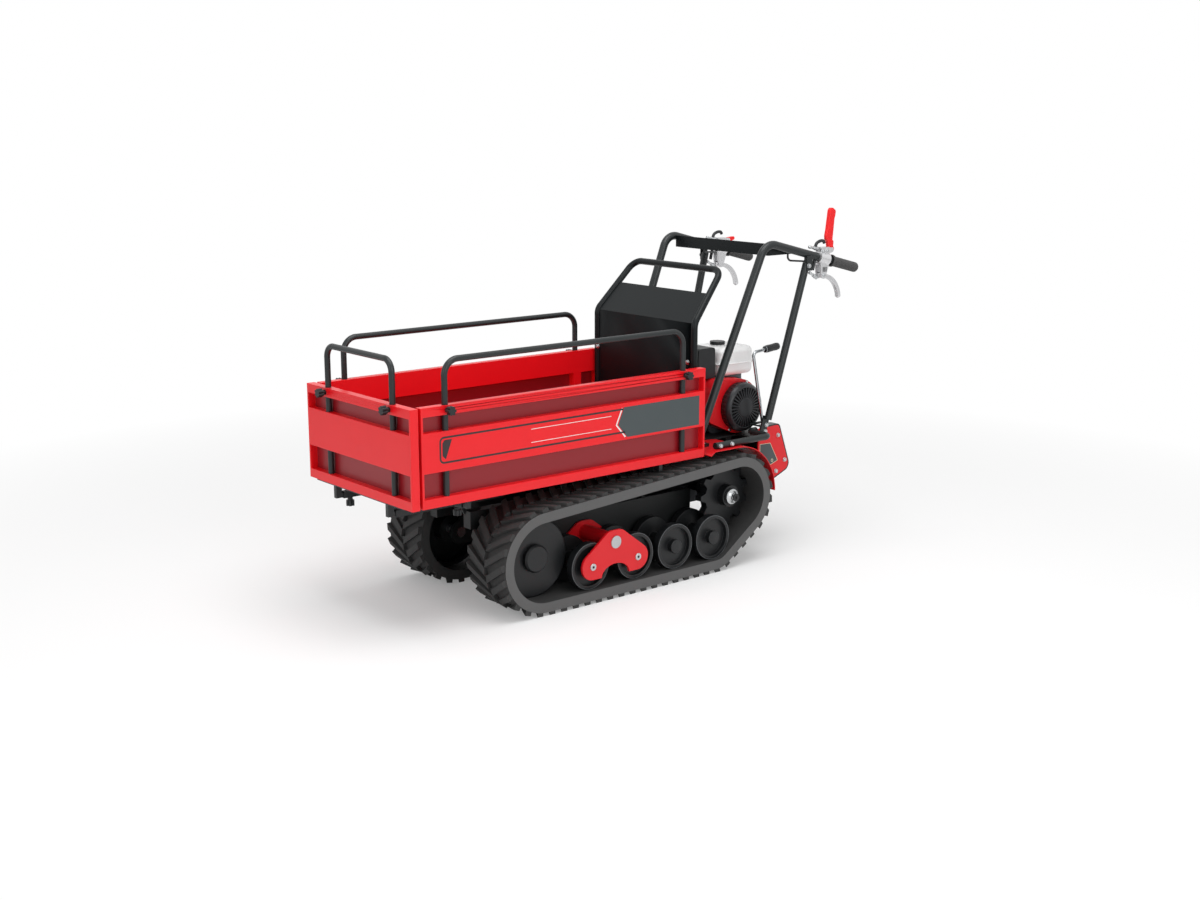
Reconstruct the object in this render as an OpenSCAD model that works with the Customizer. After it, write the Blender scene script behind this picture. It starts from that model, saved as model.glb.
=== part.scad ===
// Tracked power carrier: walk-behind carrier with two rubber tracks, a tipping load box whose
// three sides pull out, lift-up rails, a small engine behind the box and handlebars at the rear.
// Millimetres. +X is forwards, +Y is the left side, +Z is up, and Z = 0 is the ground.

/* [Load box] */
// X of the rear ends of the side panels
panel_rear_x = -225; // [-230:1:-220]
// Outer width of the closed box
box_w = 630; // [610:1:650]
// Length of a side panel
box_l = 1198; // [1180:1:1210]
// Height of the underside of the panels above the ground
box_bottom_z = 432; // [430:1:440]
// Height of a panel
panel_h = 321; // [310:1:340]
// Depth of the folds of a panel
panel_depth = 26; // [26:1:32]
// Thickness of the panel sheet
panel_sheet = 3; // [2:0.5:3]
// Height of the top and bottom folds of a panel
flange_h = 30; // [28:1:34]
// Height of the lower recess of a panel
low_recess_h = 82; // [70:1:90]
// Height of the middle band of a panel
band_h = 128; // [115:1:135]
// Thickness of the plates that close the ends of a panel
end_plate_t = 8; // [5:1:12]
// Gap between the front panel and the side panels
corner_gap = 10; // [6:1:14]
// How far each panel pulls out
extension = 185; // [150:1:190]
// Thickness of the floor sheet
floor_t = 4; // [3:0.5:6]
// Outer size of the square guide tubes of the panels
guide_tube = 16; // [14:0.5:18]
// Wall of the guide sleeves
sleeve_wall = 3; // [2.5:0.5:4]

/* [Lift-up rails] */
// Diameter of a rail tube
rail_d = 20; // [16:1:21]
// Height of the rail's top centre line above the panel
rail_rise = 140; // [120:1:170]
// Bend radius of the side rails
rail_bend = 50; // [40:1:60]
// Bend radius of the front rail
front_rail_bend = 40; // [35:1:50]
// Distance from a side panel's end to a rail leg
side_leg_inset = 98; // [80:1:120]
// Distance between the legs of the front rail
front_leg_span = 392; // [360:1:420]
// Diameter of a clamp knob
knob_d = 30; // [24:1:36]

/* [Headboard] */
// Distance from the outer face of a side panel to the middle of the headboard's tube
head_inset = 47; // [45:1:65]
// Height at which the headboard leans back
head_knee_z = 907; // [880:1:940]
// Lean of the upper part, in degrees
head_lean = 42; // [30:1:50]
// Length of the leaning part of the plate
head_plate_run = 130; // [100:1:150]
// Length of the leaning part of the tube
head_loop_run = 236; // [210:1:250]
// How far the upper corners of the tube lie inside its feet
head_taper = 31; // [15:1:45]
// Diameter of the headboard tube
head_tube_d = 24; // [20:1:26]
// Bend radius of the headboard tube
head_bend = 45; // [40:1:55]

/* [Tracks] */
// Width of a track
track_w = 200; // [190:1:204]
// Distance between the middles of the two tracks
track_gauge = 494; // [490:1:510]
// Thickness of the rubber band under the lugs
belt_t = 34; // [30:1:38]
// Height of the lugs
lug_h = 12; // [8:1:16]
// Distance from lug to lug along the band
lug_pitch = 50; // [46:1:60]
// Length of a lug along the band
lug_l = 24; // [18:1:26]
// How far the outer end of a lug runs ahead of its inner end
lug_skew = 58; // [40:1:64]
// Radius of the front idler
idler_r = 137; // [130:1:140]
// X of the front idler
idler_x = 512; // [500:1:520]
// Radius over the teeth of the rear sprocket
sprocket_r = 119; // [112:1:121]
// X of the rear sprocket
sprocket_x = -380; // [-390:1:-375]
// Height of the rear sprocket
sprocket_z = 258; // [254:1:262]
// Number of sprocket teeth
sprocket_teeth = 11; // [9:1:13]
// Radius of a track roller
roller_r = 82; // [78:1:84]
// Width of a track roller over both rims
roller_w = 150; // [140:1:156]
// X of the first roller
first_roller_x = 311; // [304:1:314]
// Distance between the two rollers of the rocker
rocker_span = 202; // [192:1:210]
// Height of the rocker's pivot above the roller axles
rocker_rise = 71; // [66:1:78]
// X of the third roller
third_roller_x = -78; // [-84:1:-70]
// X of the fourth roller
fourth_roller_x = -262; // [-268:1:-258]

/* [Chassis] */
// Height of a main beam
beam_h = 60; // [50:1:62]
// Width of a main beam
beam_w = 40; // [30:1:44]
// Height of the underside of the main beams
beam_z = 275; // [274:1:280]
// Distance between the middles of the main beams
beam_spread = 200; // [198:1:204]
// Height of the underside of the engine deck
deck_z = 430; // [430:1:436]
// Thickness of the engine deck
deck_t = 6; // [5:0.5:8]
// X of the tipping hinge
tip_x = 682; // [676:1:690]
// Height of the tipping hinge
tip_z = 398; // [396:1:402]
// Diameter of the tipping hinge's pin
tip_pin_d = 20; // [16:1:24]

/* [Engine and drive] */
// X of the crankshaft
crank_x = -596; // [-600:1:-590]
// Height of the crankshaft above the deck
crank_rise = 105; // [100:1:110]
// Y of the front of the recoil starter's cover
recoil_y = 150; // [145:1:160]
// Radius of the recoil starter's cover
recoil_r = 93; // [85:1:98]
// Width of the fuel tank along the machine
tank_l = 176; // [160:1:190]
// Depth of the fuel tank across the machine
tank_w = 170; // [150:1:180]
// Height of the fuel tank
tank_h = 108; // [100:1:118]
// Height of the fuel tank's underside above the deck
tank_rise = 218; // [216:1:225]
// Radius of the engine pulley
engine_pulley_r = 42; // [36:1:46]
// Radius of the gearbox pulley
gear_pulley_r = 60; // [54:1:64]
// X of the gearbox's input shaft
gear_in_x = -400; // [-405:1:-395]
// Height of the gearbox's input shaft
gear_in_z = 362; // [358:1:366]

/* [Handlebars] */
// Diameter of the handlebar tube
bar_d = 30; // [26:1:34]
// Bend radius of the handlebar tube
bar_bend = 60; // [45:1:80]
// X of the foot of a bar
bar_foot_x = -262; // [-266:1:-258]
// Y of the foot of a bar
bar_foot_y = 236; // [230:1:240]
// X of the upper bend
bar_bend_x = -562; // [-570:1:-555]
// Y of the upper bend
bar_bend_y = 266; // [262:1:272]
// Height of the upper bend
bar_bend_z = 1173; // [1150:1:1200]
// X of the end of a grip
bar_end_x = -1033; // [-1050:1:-1020]
// Y of the end of a grip
bar_end_y = 283; // [280:1:290]
// Height of the end of a grip
bar_end_z = 1054; // [1040:1:1070]
// Length of a grip
grip_l = 138; // [120:1:150]
// Diameter of a grip
grip_d = 38; // [36:1:42]
// Diameter of a strut
strut_d = 28; // [24:1:30]

/* [Hidden] */
$fn = 48;

SIDES = ["left", "right"];

// Clearances: running fit on a shaft, sliding fit, and the gap between parts that only rest together
running_gap = 0.05;
slide_gap = 0.3;
rest_gap = 0.3;
// A bend is a little thicker than the straight runs that lap into it
bend_swell = 0.15;
bend_lap = 0.8;
// A round bar's facets start at this angle, so that its seam is clear of the seams of its bends
seam_turn = 7;

// Colours
red = "#e01f2b";
black = "#2a2c2e";
slate = "#33393b";
rubber = "#4c4c4c";
steel = "#b9bcc0";
pale = "#dcdcdc";

// Load box places
panel_total = panel_depth + panel_sheet;
panel_front_x = panel_rear_x + box_l;
box_front_x = panel_front_x + corner_gap + panel_total;
panel_top_z = box_bottom_z + panel_h;
low_web_z = box_bottom_z + flange_h;
band_z = low_web_z + low_recess_h;
top_web_z = panel_top_z - flange_h;
sheet_gap = 1;
floor_z = box_bottom_z + panel_sheet + sheet_gap;
floor_top_z = floor_z + floor_t;
floor_half_w = box_w / 2 - panel_total - 2;
tuck = 20;
shelf_u = panel_total + extension + tuck;
front_shelf_top = box_bottom_z - 0.4;
front_shelf_half = box_w / 2 - 45;
leg_u = panel_sheet + 0.5 + rail_d / 2;
leg_block = 36;
rail_top_z = panel_top_z + rail_rise;
knob_z = panel_top_z - flange_h / 2;
knob_stem_r = 4;

// Guides under the floor: sleeves across the bed for the sides, and sleeves along it for the front
sleeve = guide_tube + 2 * slide_gap + 2 * sleeve_wall;
side_sleeve_top = front_shelf_top - panel_sheet - 1.6;
side_sleeve_z = side_sleeve_top - sleeve;
front_sleeve_z = side_sleeve_z - sleeve;
side_guide_x = [tip_x + 115, panel_rear_x + 205];
front_guide_y = box_w / 2 - 155;
front_sleeve_rear_x = 560;
side_tube_end_u = box_w / 2 - 27;
front_tube_end_u = extension + 215;
bed_rail_y = 52;
bed_rail_w = 24;
cross_bar_x = 580;
lock_side_y = box_w / 2 - 70;
lock_front_x = box_front_x - 60;

// Headboard places
head_x = panel_rear_x + head_tube_d / 2 + 1;
head_half = box_w / 2 - head_inset;
head_half_top = head_half - head_taper;
head_seat_x = head_x + head_tube_d / 2 + 1;
head_seat_z = floor_top_z - 1;
plate_gap = 1.4;

// Track places
idler_z = lug_h + belt_t + idler_r + rest_gap;
roller_z = lug_h + belt_t + roller_r + rest_gap;
roller_x = [first_roller_x, first_roller_x - rocker_span, third_roller_x, fourth_roller_x];
rocker_x = first_roller_x - rocker_span / 2;
rocker_z = roller_z + rocker_rise;
track_y = track_gauge / 2;
wheel_y = track_y + 4;
track_plate_y = track_y - track_w / 2 + 3;
track_plate_t = 10;
rocker_plate_t = 9;
rocker_inner_y = wheel_y - roller_w / 2 - rest_gap - 3 - rocker_plate_t;
rocker_outer_y = wheel_y + roller_w / 2 + rest_gap + 4;
idler_half_w = 36;
idler_boss_y = wheel_y + 42;
roller_axle_r = 14;
idler_axle_r = 18;
rocker_pin_r = 19;
half_shaft_r = 15;
track_circles = [
    [idler_x, idler_z, idler_r + rest_gap],
    [sprocket_x, sprocket_z, sprocket_r + rest_gap],
    [fourth_roller_x, roller_z, roller_r + rest_gap]];
lug_sink = 7;
lug_mid_gap = 3;
lug_edge_gap = 2;

// Chassis places
beam_y = beam_spread / 2;
beam_top = beam_z + beam_h;
beam_front_x = tip_x - 22;
beam_rear_x = -560;
cross_tube = 50;
cross_tube_x = [430, 20, -250];
deck_top = deck_z + deck_t;
deck_step_x = -578;
deck_rear_x = -699;
deck_half = beam_y + beam_w / 2;
rest_beam_x = -150;
wing_t = 16;
wing_x = [-330, -268];
mudguard_front_x = -262;
mudguard_flap = 22;
wing_y = 275;
casing_y = 229;
casing_t = 6;
wrap_t = 5;
casing_front_x = -580;
casing_corners = [[-668, 290, 14], [casing_front_x - 10, 330, 10], [casing_front_x - 10, 464, 10],
    [-676, 461, 16], [-716, 322, 26]];
mudguard_t = 3;
mudguard_y = [168, 336];
mudguard_z = deck_z + wing_t;
guard_d = 24;
guard_bend = 24;
guard_y = 308;
guard_z = mudguard_z + mudguard_t + guard_d / 2;

// Engine places
crank_z = deck_top + crank_rise;
recoil_depth = 42;
shroud_depth = 58;
shroud_y = recoil_y - recoil_depth;
block_y = shroud_y - shroud_depth;
block_w = 150;
fin_reach = 140;
cylinder_x = crank_x + 95;
cylinder_z = crank_z + 36;
tank_x = crank_x - 20;
tank_z = deck_top + tank_rise;
tank_y = -6;
cap_x = tank_x + 26;
cap_r = 29;
belt_plane_y = -133;
v_belt_t = 8;
pulley_w = 16;
gear_half = 75;
crank_r = 12;
input_r = 11;

// Handlebar places
bar_r = bar_d / 2;
function bar_foot(s) = [bar_foot_x, s * bar_foot_y, mudguard_z + mudguard_t + 8];
function bar_corner(s) = [bar_bend_x, s * bar_bend_y, bar_bend_z];
function bar_end(s) = [bar_end_x, s * bar_end_y, bar_end_z];
// Point on the rear run of a bar, at a distance forward of its end
function on_bar(s, d) = bar_end(s) + d * unit(bar_corner(s) - bar_end(s));
bar_run = norm(bar_corner(1) - bar_end(1));
perch_at = grip_l + 46;
strut_at = grip_l + 130;
strut_drop = 34;
dash_setback = 32;
dash_depth = 44;
strut_foot_x = -612;
strut_foot_z = 508;
adjuster_l = 34;
lever_axis_d = 64;
lever_pin_r = 5;
drive_lever_h = 156;
throttle_l = 34;
gear_lever_x = -655;
gear_lever_y = 186;
gear_lever_z = 452;
gear_lever_r = 6;
gear_knee = [65, 304];
gear_arm = [-126, 12];

function unit(v) = v / norm(v);
// Matrix of a frame given by three axes and an origin
function frame(ex, ey, ez, o) = [
    [ex[0], ey[0], ez[0], o[0]],
    [ex[1], ey[1], ez[1], o[1]],
    [ex[2], ey[2], ez[2], o[2]],
    [0, 0, 0, 1]];
// Direction of the outward normal of the line that touches circles a and b, each [x, y, r]
function tangent_angle(a, b) =
    let (d = [b[0] - a[0], b[1] - a[1]])
    atan2(d[1], d[0]) - acos((a[2] - b[2]) / norm(d));
function turn(from, to) = let (t = (to - from) % 360) t < 0 ? t + 360 : t;
// Outline drawn tight around circles that are listed counter-clockwise
function wrap(c, step = 6) =
    let (n = len(c))
    [for (i = [0:n - 1])
        let (a = tangent_angle(c[(i + n - 1) % n], c[i]),
             w = turn(a, tangent_angle(c[i], c[(i + 1) % n])),
             k = max(1, ceil(w / step)))
        for (j = [0:k]) [c[i][0] + c[i][2] * cos(a + w * j / k), c[i][1] + c[i][2] * sin(a + w * j / k)]];
function grow(c, d) = [for (q = c) [q[0], q[1], q[2] + d]];
// Length along a closed outline up to each of its points
function lengths(p) = [for (i = 0, s = 0; i <= len(p);
    s = s + norm(p[(i + 1) % len(p)] - p[i % len(p)]), i = i + 1) s];

// Extrudes an X-Z outline from y0 to y1
module slab(y0, y1) {
    translate([0, y1, 0]) rotate([90, 0, 0]) linear_extrude(y1 - y0) children();
}

// Round bar along Y
module rod_y(x, z, r, y0, y1) {
    translate([x, y0, z]) rotate([-90, 0, 0]) cylinder(r = r, h = y1 - y0);
}

// Round bar from a to b
module rod(a, b, r) {
    z = unit(b - a);
    x = unit(cross(z, abs(z[2]) < 0.9 ? [0, 0, 1] : [1, 0, 0]));
    multmatrix(frame(x, cross(z, x), z, a)) rotate([0, 0, seam_turn]) cylinder(r = r, h = norm(b - a));
}

// Bend of a round bar at corner b
module elbow(a, b, c, r, bend) {
    u = unit(a - b);
    v = unit(c - b);
    half = acos(u * v) / 2;
    o = b + unit(u + v) * bend / sin(half);
    ex = unit(b + u * bend / tan(half) - o);
    multmatrix(frame(ex, -u, cross(ex, -u), o))
        rotate_extrude(angle = 180 - 2 * half) translate([bend, 0]) circle(r + bend_swell);
}

// How far a straight run stops short of corner i: its end laps into the bend
function trim(p, i, bend) = i == 0 || i == len(p) - 1 ? 0
    : bend / tan(acos(unit(p[i - 1] - p[i]) * unit(p[i + 1] - p[i])) / 2) - bend_lap;

// Bent round bar through the points p
module bent_bar(p, r, bend) {
    for (i = [0:len(p) - 2]) {
        u = unit(p[i + 1] - p[i]);
        rod(p[i] + u * trim(p, i, bend), p[i + 1] - u * trim(p, i + 1, bend), r);
    }
    for (i = [1:1:len(p) - 2]) elbow(p[i - 1], p[i], p[i + 1], r, bend);
}

module box(x, y, z) {
    translate([x[0], y[0], z[0]]) cube([x[1] - x[0], y[1] - y[0], z[1] - z[0]]);
}

module on_side(s) {
    if (s == "left") children();
    else mirror([0, 1, 0]) children();
}

module both_sides() {
    children();
    mirror([0, 1, 0]) children();
}

// Tipping bed: floor sheet, two rails under it, sleeves for the panel guides, hinge lugs
module bed_frame() {
    color(red) difference() {
        union() {
            box([head_seat_x, box_front_x - panel_total - 2], [-floor_half_w, floor_half_w],
                [floor_z, floor_top_z]);
            box([panel_rear_x + 2, head_seat_x + 1], [-floor_half_w, floor_half_w], [floor_z, head_seat_z]);
            for (s = [-1, 1]) {
                y = [s * bed_rail_y - bed_rail_w / 2, s * bed_rail_y + bed_rail_w / 2];
                box([panel_rear_x + 4, box_front_x - shelf_u - 4], y, [side_sleeve_z, floor_z]);
                box([box_front_x - shelf_u - 4, side_guide_x[0]], y, [side_sleeve_z, side_sleeve_top]);
                rod_y(tip_x, tip_z, tip_pin_d / 2 + 13, y[0], y[1]);
                box([front_sleeve_rear_x, box_front_x - panel_total - 2],
                    [s * front_guide_y - sleeve / 2, s * front_guide_y + sleeve / 2],
                    [front_sleeve_z, front_sleeve_z + sleeve]);
            }
            for (x = side_guide_x)
                box([x - sleeve / 2, x + sleeve / 2], [-floor_half_w, floor_half_w],
                    [side_sleeve_z, side_sleeve_top]);
            box([cross_bar_x - sleeve / 2, cross_bar_x + sleeve / 2],
                [-front_guide_y - sleeve / 2, front_guide_y + sleeve / 2],
                [side_sleeve_z, side_sleeve_top]);
        }
        rod_y(tip_x, tip_z, tip_pin_d / 2 + running_gap, -floor_half_w, floor_half_w);
        for (x = side_guide_x)
            box([x - sleeve / 2 + sleeve_wall, x + sleeve / 2 - sleeve_wall], [-box_w, box_w],
                [side_sleeve_z + sleeve_wall, side_sleeve_top - sleeve_wall]);
        for (s = [-1, 1]) {
            box([front_sleeve_rear_x - 1, box_front_x],
                [s * front_guide_y - sleeve / 2 + sleeve_wall,
                 s * front_guide_y + sleeve / 2 - sleeve_wall],
                [front_sleeve_z + sleeve_wall, front_sleeve_z + sleeve - sleeve_wall]);
            translate([side_guide_x[0], s * lock_side_y, side_sleeve_z - 1])
                cylinder(r = knob_stem_r + running_gap, h = sleeve_wall + 2);
        }
        translate([lock_front_x, -front_guide_y, front_sleeve_z - 1])
            cylinder(r = knob_stem_r + running_gap, h = sleeve_wall + 2);
    }
}

// Headboard: plate framed by a bent tube, upright in the box and leaning back above it
module headboard() {
    run = [-sin(head_lean), 0, cos(head_lean)];
    top = [head_x, 0, head_knee_z] + head_loop_run * run;
    plate_t = 4;
    low = head_half - head_tube_d / 2 - plate_gap;
    high = low - head_taper * head_plate_run / head_loop_run;
    color(slate) {
        bent_bar([[head_x, head_half, head_seat_z], [head_x, head_half, head_knee_z],
            [top[0], head_half_top, top[2]], [top[0], -head_half_top, top[2]],
            [head_x, -head_half, head_knee_z], [head_x, -head_half, head_seat_z]],
            head_tube_d / 2, head_bend);
        union() {
            box([head_x - plate_t / 2, head_x + plate_t / 2], [-low, low], [head_seat_z, head_knee_z]);
            translate([head_x, 0, head_knee_z]) rotate([0, -head_lean, 0]) translate([-plate_t / 2, 0, 0])
                rotate([90, 0, 90]) linear_extrude(plate_t)
                    polygon([[-low, -plate_t / 2], [low, -plate_t / 2], [high, head_plate_run],
                        [-high, head_plate_run]]);
        }
    }
}

// Folded sheet of a panel, seen from its end: u is the depth from the outer face
function panel_profile(shelf) =
    let (d = panel_depth, e = panel_total, t = panel_sheet, band_top = band_z + band_h)
    [[0, box_bottom_z], [0, low_web_z], [d, low_web_z], [d, band_z], [0, band_z], [0, band_top],
     [d, band_top], [d, top_web_z], [0, top_web_z], [0, panel_top_z], [e, panel_top_z],
     [e, band_top - t], [t, band_top - t], [t, band_z + t], [e, band_z + t], [e, low_web_z - t],
     [t, low_web_z - t], [t, box_bottom_z + t], [shelf, box_bottom_z + t], [shelf, box_bottom_z]];

// Panel in its own frame: length along X, depth inwards along Y
module panel(length, legs, shelf) {
    difference() {
        union() {
            rotate([90, 0, 90]) linear_extrude(length) polygon(panel_profile(shelf));
            for (x = [0, length - end_plate_t])
                box([x, x + end_plate_t], [0, panel_total], [box_bottom_z, panel_top_z]);
            for (x = legs)
                box([x - leg_block / 2, x + leg_block / 2], [0, panel_total], [band_z, band_z + band_h]);
            children();
        }
        for (x = legs) {
            translate([x, leg_u, low_web_z])
                cylinder(r = rail_d / 2 + slide_gap, h = panel_h);
            translate([x, -1, knob_z]) rotate([-90, 0, 0])
                cylinder(r = knob_stem_r + running_gap, h = leg_u + 1);
        }
    }
}

// Square guide tube and the block that carries the panel on it
module guide(x, end_u, z) {
    box([x - guide_tube / 2, x + guide_tube / 2], [6, end_u],
        [z + sleeve_wall + slide_gap, z + sleeve - sleeve_wall - slide_gap]);
    box([x - guide_tube / 2, x + guide_tube / 2], [4, panel_total - 3],
        [z + sleeve_wall + slide_gap, box_bottom_z + 1]);
}

side_legs = [side_leg_inset, box_l - side_leg_inset];
front_legs = [box_w / 2 - front_leg_span / 2, box_w / 2 + front_leg_span / 2];

module panel_side() {
    color(red) translate([panel_rear_x, box_w / 2, 0]) mirror([0, 1, 0]) panel(box_l, side_legs, shelf_u)
        for (x = side_guide_x) guide(x - panel_rear_x, side_tube_end_u, side_sleeve_z);
}

module panel_front() {
    color(red) translate([box_front_x, -box_w / 2, 0]) rotate([0, 0, 90])
            panel(box_w, front_legs, panel_total) {
        for (s = [-1, 1]) guide(box_w / 2 + s * front_guide_y, front_tube_end_u, front_sleeve_z);
        box([box_w / 2 - front_shelf_half, box_w / 2 + front_shelf_half], [0, panel_total],
            [front_shelf_top - panel_sheet, box_bottom_z + 1]);
        box([box_w / 2 - front_shelf_half, box_w / 2 + front_shelf_half], [0, shelf_u],
            [front_shelf_top - panel_sheet, front_shelf_top]);
    }
}

// Rail in the frame of its panel
module rail(legs, bend) {
    foot = low_web_z + rest_gap;
    bent_bar([[legs[0], leg_u, foot], [legs[0], leg_u, rail_top_z], [legs[1], leg_u, rail_top_z],
        [legs[1], leg_u, foot]], rail_d / 2, bend);
}

module rail_side() {
    color(black) translate([panel_rear_x, box_w / 2, 0]) mirror([0, 1, 0]) rail(side_legs, rail_bend);
}

module rail_front() {
    color(black) translate([box_front_x, -box_w / 2, 0]) rotate([0, 0, 90])
        rail(front_legs, front_rail_bend);
}

// Lobed knob on a screw, pointing along +Z from the face it is screwed to
module knob(stem) {
    lobes = 6;
    lobe_r = 5;
    head_r = knob_d / 2 - lobe_r;
    translate([0, 0, -stem]) cylinder(r = knob_stem_r, h = stem + 6);
    translate([0, 0, rest_gap]) cylinder(r = 9, h = 2);
    translate([0, 0, 5]) cylinder(r = 9, h = 8);
    translate([0, 0, 12]) {
        cylinder(r = head_r, h = 18);
        for (i = [0:lobes - 1])
            rotate([0, 0, i * 360 / lobes]) translate([head_r, 0, 0]) cylinder(r = lobe_r, h = 18);
    }
}

module clamp_knob_side(x) {
    color(black) translate([panel_rear_x + x, box_w / 2, knob_z]) rotate([-90, 0, 0])
        knob(panel_sheet + 0.3);
}

module clamp_knob_front(y) {
    color(black) translate([box_front_x, y, knob_z]) rotate([0, 90, 0]) knob(panel_sheet + 0.3);
}

module lock_knob_side() {
    color(black) translate([side_guide_x[0], lock_side_y, side_sleeve_z]) rotate([180, 0, 0])
        knob(sleeve_wall);
}

module lock_knob_front() {
    color(black) translate([lock_front_x, -front_guide_y, front_sleeve_z]) rotate([180, 0, 0])
        knob(sleeve_wall);
}

// Ladder frame with the two track plates, the bed's rest and hinge brackets, and the engine deck
module chassis_frame() {
    plate_outer = track_plate_y + track_plate_t;
    color(black) difference() {
        union() {
            both_sides() {
                box([beam_rear_x, beam_front_x], [beam_y - beam_w / 2, beam_y + beam_w / 2],
                    [beam_z, beam_top]);
                slab(track_plate_y, plate_outer) polygon(concat(
                    [[fourth_roller_x - 40, beam_z], [fourth_roller_x - 40, roller_z - 40],
                     [third_roller_x + 60, roller_z - 40], [rocker_x - 40, rocker_z - 34],
                     [rocker_x + 40, rocker_z - 34]],
                    [for (a = [-90:15:75]) [idler_x + 44 * cos(a), idler_z + 44 * sin(a)]],
                    [[idler_x - 40, beam_z]]));
                slab(beam_y - beam_w / 2, beam_y - beam_w / 2 + 10)
                    polygon(wrap([[beam_front_x - 60, beam_top - 12, 12],
                        [beam_front_x - 12, beam_top - 12, 12], [tip_x, tip_z, tip_pin_d / 2 + 12]]));
                for (x = [-470, -540])
                    box([x - 15, x + 15], [beam_y - 15, beam_y + 15], [beam_top - 1, deck_z + 1]);
                box(wing_x, [deck_half - 10, wing_y], [deck_z, mudguard_z]);
            }
            for (e = [-1, 1])
                slab(gear_lever_y + e * 12 - 3, gear_lever_y + e * 12 + 3)
                    polygon(wrap([[gear_lever_x - 10, deck_top + 2, 4],
                        [gear_lever_x + 10, deck_top + 2, 4],
                        [gear_lever_x, gear_lever_z, lever_pin_r + 5]]));
            for (x = cross_tube_x)
                box([x - cross_tube / 2, x + cross_tube / 2], [-track_plate_y - 1, track_plate_y + 1],
                    [beam_z - cross_tube, beam_z + 1]);
            box([rest_beam_x - 25, rest_beam_x + 25], [-beam_y - beam_w / 2, beam_y + beam_w / 2],
                [beam_top - 1, side_sleeve_z - rest_gap]);
            box([deck_step_x, wing_x[1]], [-deck_half, deck_half], [deck_z, deck_top]);
            box([deck_rear_x, deck_step_x], [-casing_y, casing_y], [deck_z, deck_top]);
        }
        rod_y(tip_x, tip_z, tip_pin_d / 2, -track_y, track_y);
        rod_y(gear_lever_x, gear_lever_z, lever_pin_r, gear_lever_y - 20, gear_lever_y + 20);
        for (p = pin_places())
            rod_y(p[0], p[1], p[2], -plate_outer - 1, plate_outer + 1);
    }
}

// Place and radius of each fixed axle: idler, third and fourth roller, rocker pivot
function pin_places() = [
    [idler_x, idler_z, idler_axle_r],
    [third_roller_x, roller_z, roller_axle_r],
    [fourth_roller_x, roller_z, roller_axle_r],
    [rocker_x, rocker_z, rocker_pin_r]];

// Fixed axles of both sides and the pin of the tipping hinge
module axle_pins() {
    ends = [idler_boss_y - 8, wheel_y + roller_w / 2 - 6, wheel_y + roller_w / 2 - 6,
        rocker_outer_y + rocker_plate_t + rest_gap];
    pins = pin_places();
    color(steel) {
        both_sides() for (i = [0:len(pins) - 1]) {
            rod_y(pins[i][0], pins[i][1], pins[i][2], track_plate_y, ends[i]);
            if (i == 3) rod_y(pins[i][0], pins[i][1], pins[i][2] + 3, ends[i], ends[i] + 3);
        }
        rod_y(tip_x, tip_z, tip_pin_d / 2, -beam_y + beam_w / 2 - 14, beam_y - beam_w / 2 + 14);
        rod_y(gear_lever_x, gear_lever_z, lever_pin_r, gear_lever_y - 17, gear_lever_y + 17);
    }
}

// Rubber track: smooth band with two rows of slanted lugs, flat where it stands on the ground
module track_belt() {
    p = wrap(grow(track_circles, belt_t));
    s = lengths(p);
    total = s[len(p)];
    count = floor(total / lug_pitch);
    outer = track_w / 2 - lug_edge_gap;
    color(rubber) difference() {
        union() {
            slab(track_y - track_w / 2, track_y + track_w / 2) polygon(p);
            for (i = [0:count - 1]) for (row = [-1, 1]) {
                at = ((i + (row + 1) / 4) * total / count) % total;
                k = [for (j = [0:len(p) - 1]) if (s[j] <= at && at < s[j + 1]) j][0];
                a = p[k];
                t = unit(p[(k + 1) % len(p)] - a);
                q = a + t * (at - s[k]);
                multmatrix(frame([t[0], 0, t[1]], [0, -1, 0], [t[1], 0, -t[0]], [q[0], track_y, q[1]]))
                    translate([0, 0, -lug_sink]) linear_extrude(lug_h + lug_sink) polygon([
                        [-lug_skew / 2 - lug_l / 2, row * lug_mid_gap],
                        [-lug_skew / 2 + lug_l / 2, row * lug_mid_gap],
                        [lug_skew / 2 + lug_l / 2, row * outer],
                        [lug_skew / 2 - lug_l / 2, row * outer]]);
            }
        }
        slab(track_y - track_w, track_y + track_w) polygon(wrap(track_circles));
        box([sprocket_x - 2 * track_w, idler_x + 2 * track_w], [0, 2 * track_y], [-2 * lug_h, 0]);
    }
}

// Dished double roller on a bore, turned about Y
module roller(x) {
    w = roller_w / 2;
    rim = roller_r - 13;
    hub = roller_axle_r + 10;
    bore = roller_axle_r + running_gap;
    dish = w - 16;
    inner = w - 28;
    web = w - 34;
    color(black) translate([x, wheel_y, roller_z]) rotate([-90, 0, 0]) rotate_extrude() polygon([
        [bore, -w], [hub, -w], [hub, -dish], [rim, -dish], [rim, -w], [roller_r, -w],
        [roller_r, -inner], [hub + 6, -web], [hub + 6, web], [roller_r, inner], [roller_r, w],
        [rim, w], [rim, dish], [hub, dish], [hub, w], [bore, w]]);
}

// Front idler: drum closed by a flat disc with a boss, narrow enough to run between the rollers' rims
module idler() {
    w = idler_half_w;
    b = idler_axle_r + running_gap;
    boss = idler_boss_y - wheel_y;
    face = w - 14;
    disc_t = 12;
    cap_t = 8;
    hub = 48;
    rim = idler_r - 12;
    color(black) translate([idler_x, wheel_y, idler_z]) rotate([-90, 0, 0]) rotate_extrude() polygon([
        [b, -w], [hub, -w], [hub, face - disc_t], [rim, face - disc_t], [rim, -w], [idler_r, -w],
        [idler_r, face - 4], [idler_r - 5, face], [hub, face], [hub, boss - 6], [hub - 6, boss], [0, boss],
        [0, boss - cap_t], [b, boss - cap_t]]);
}

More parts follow.
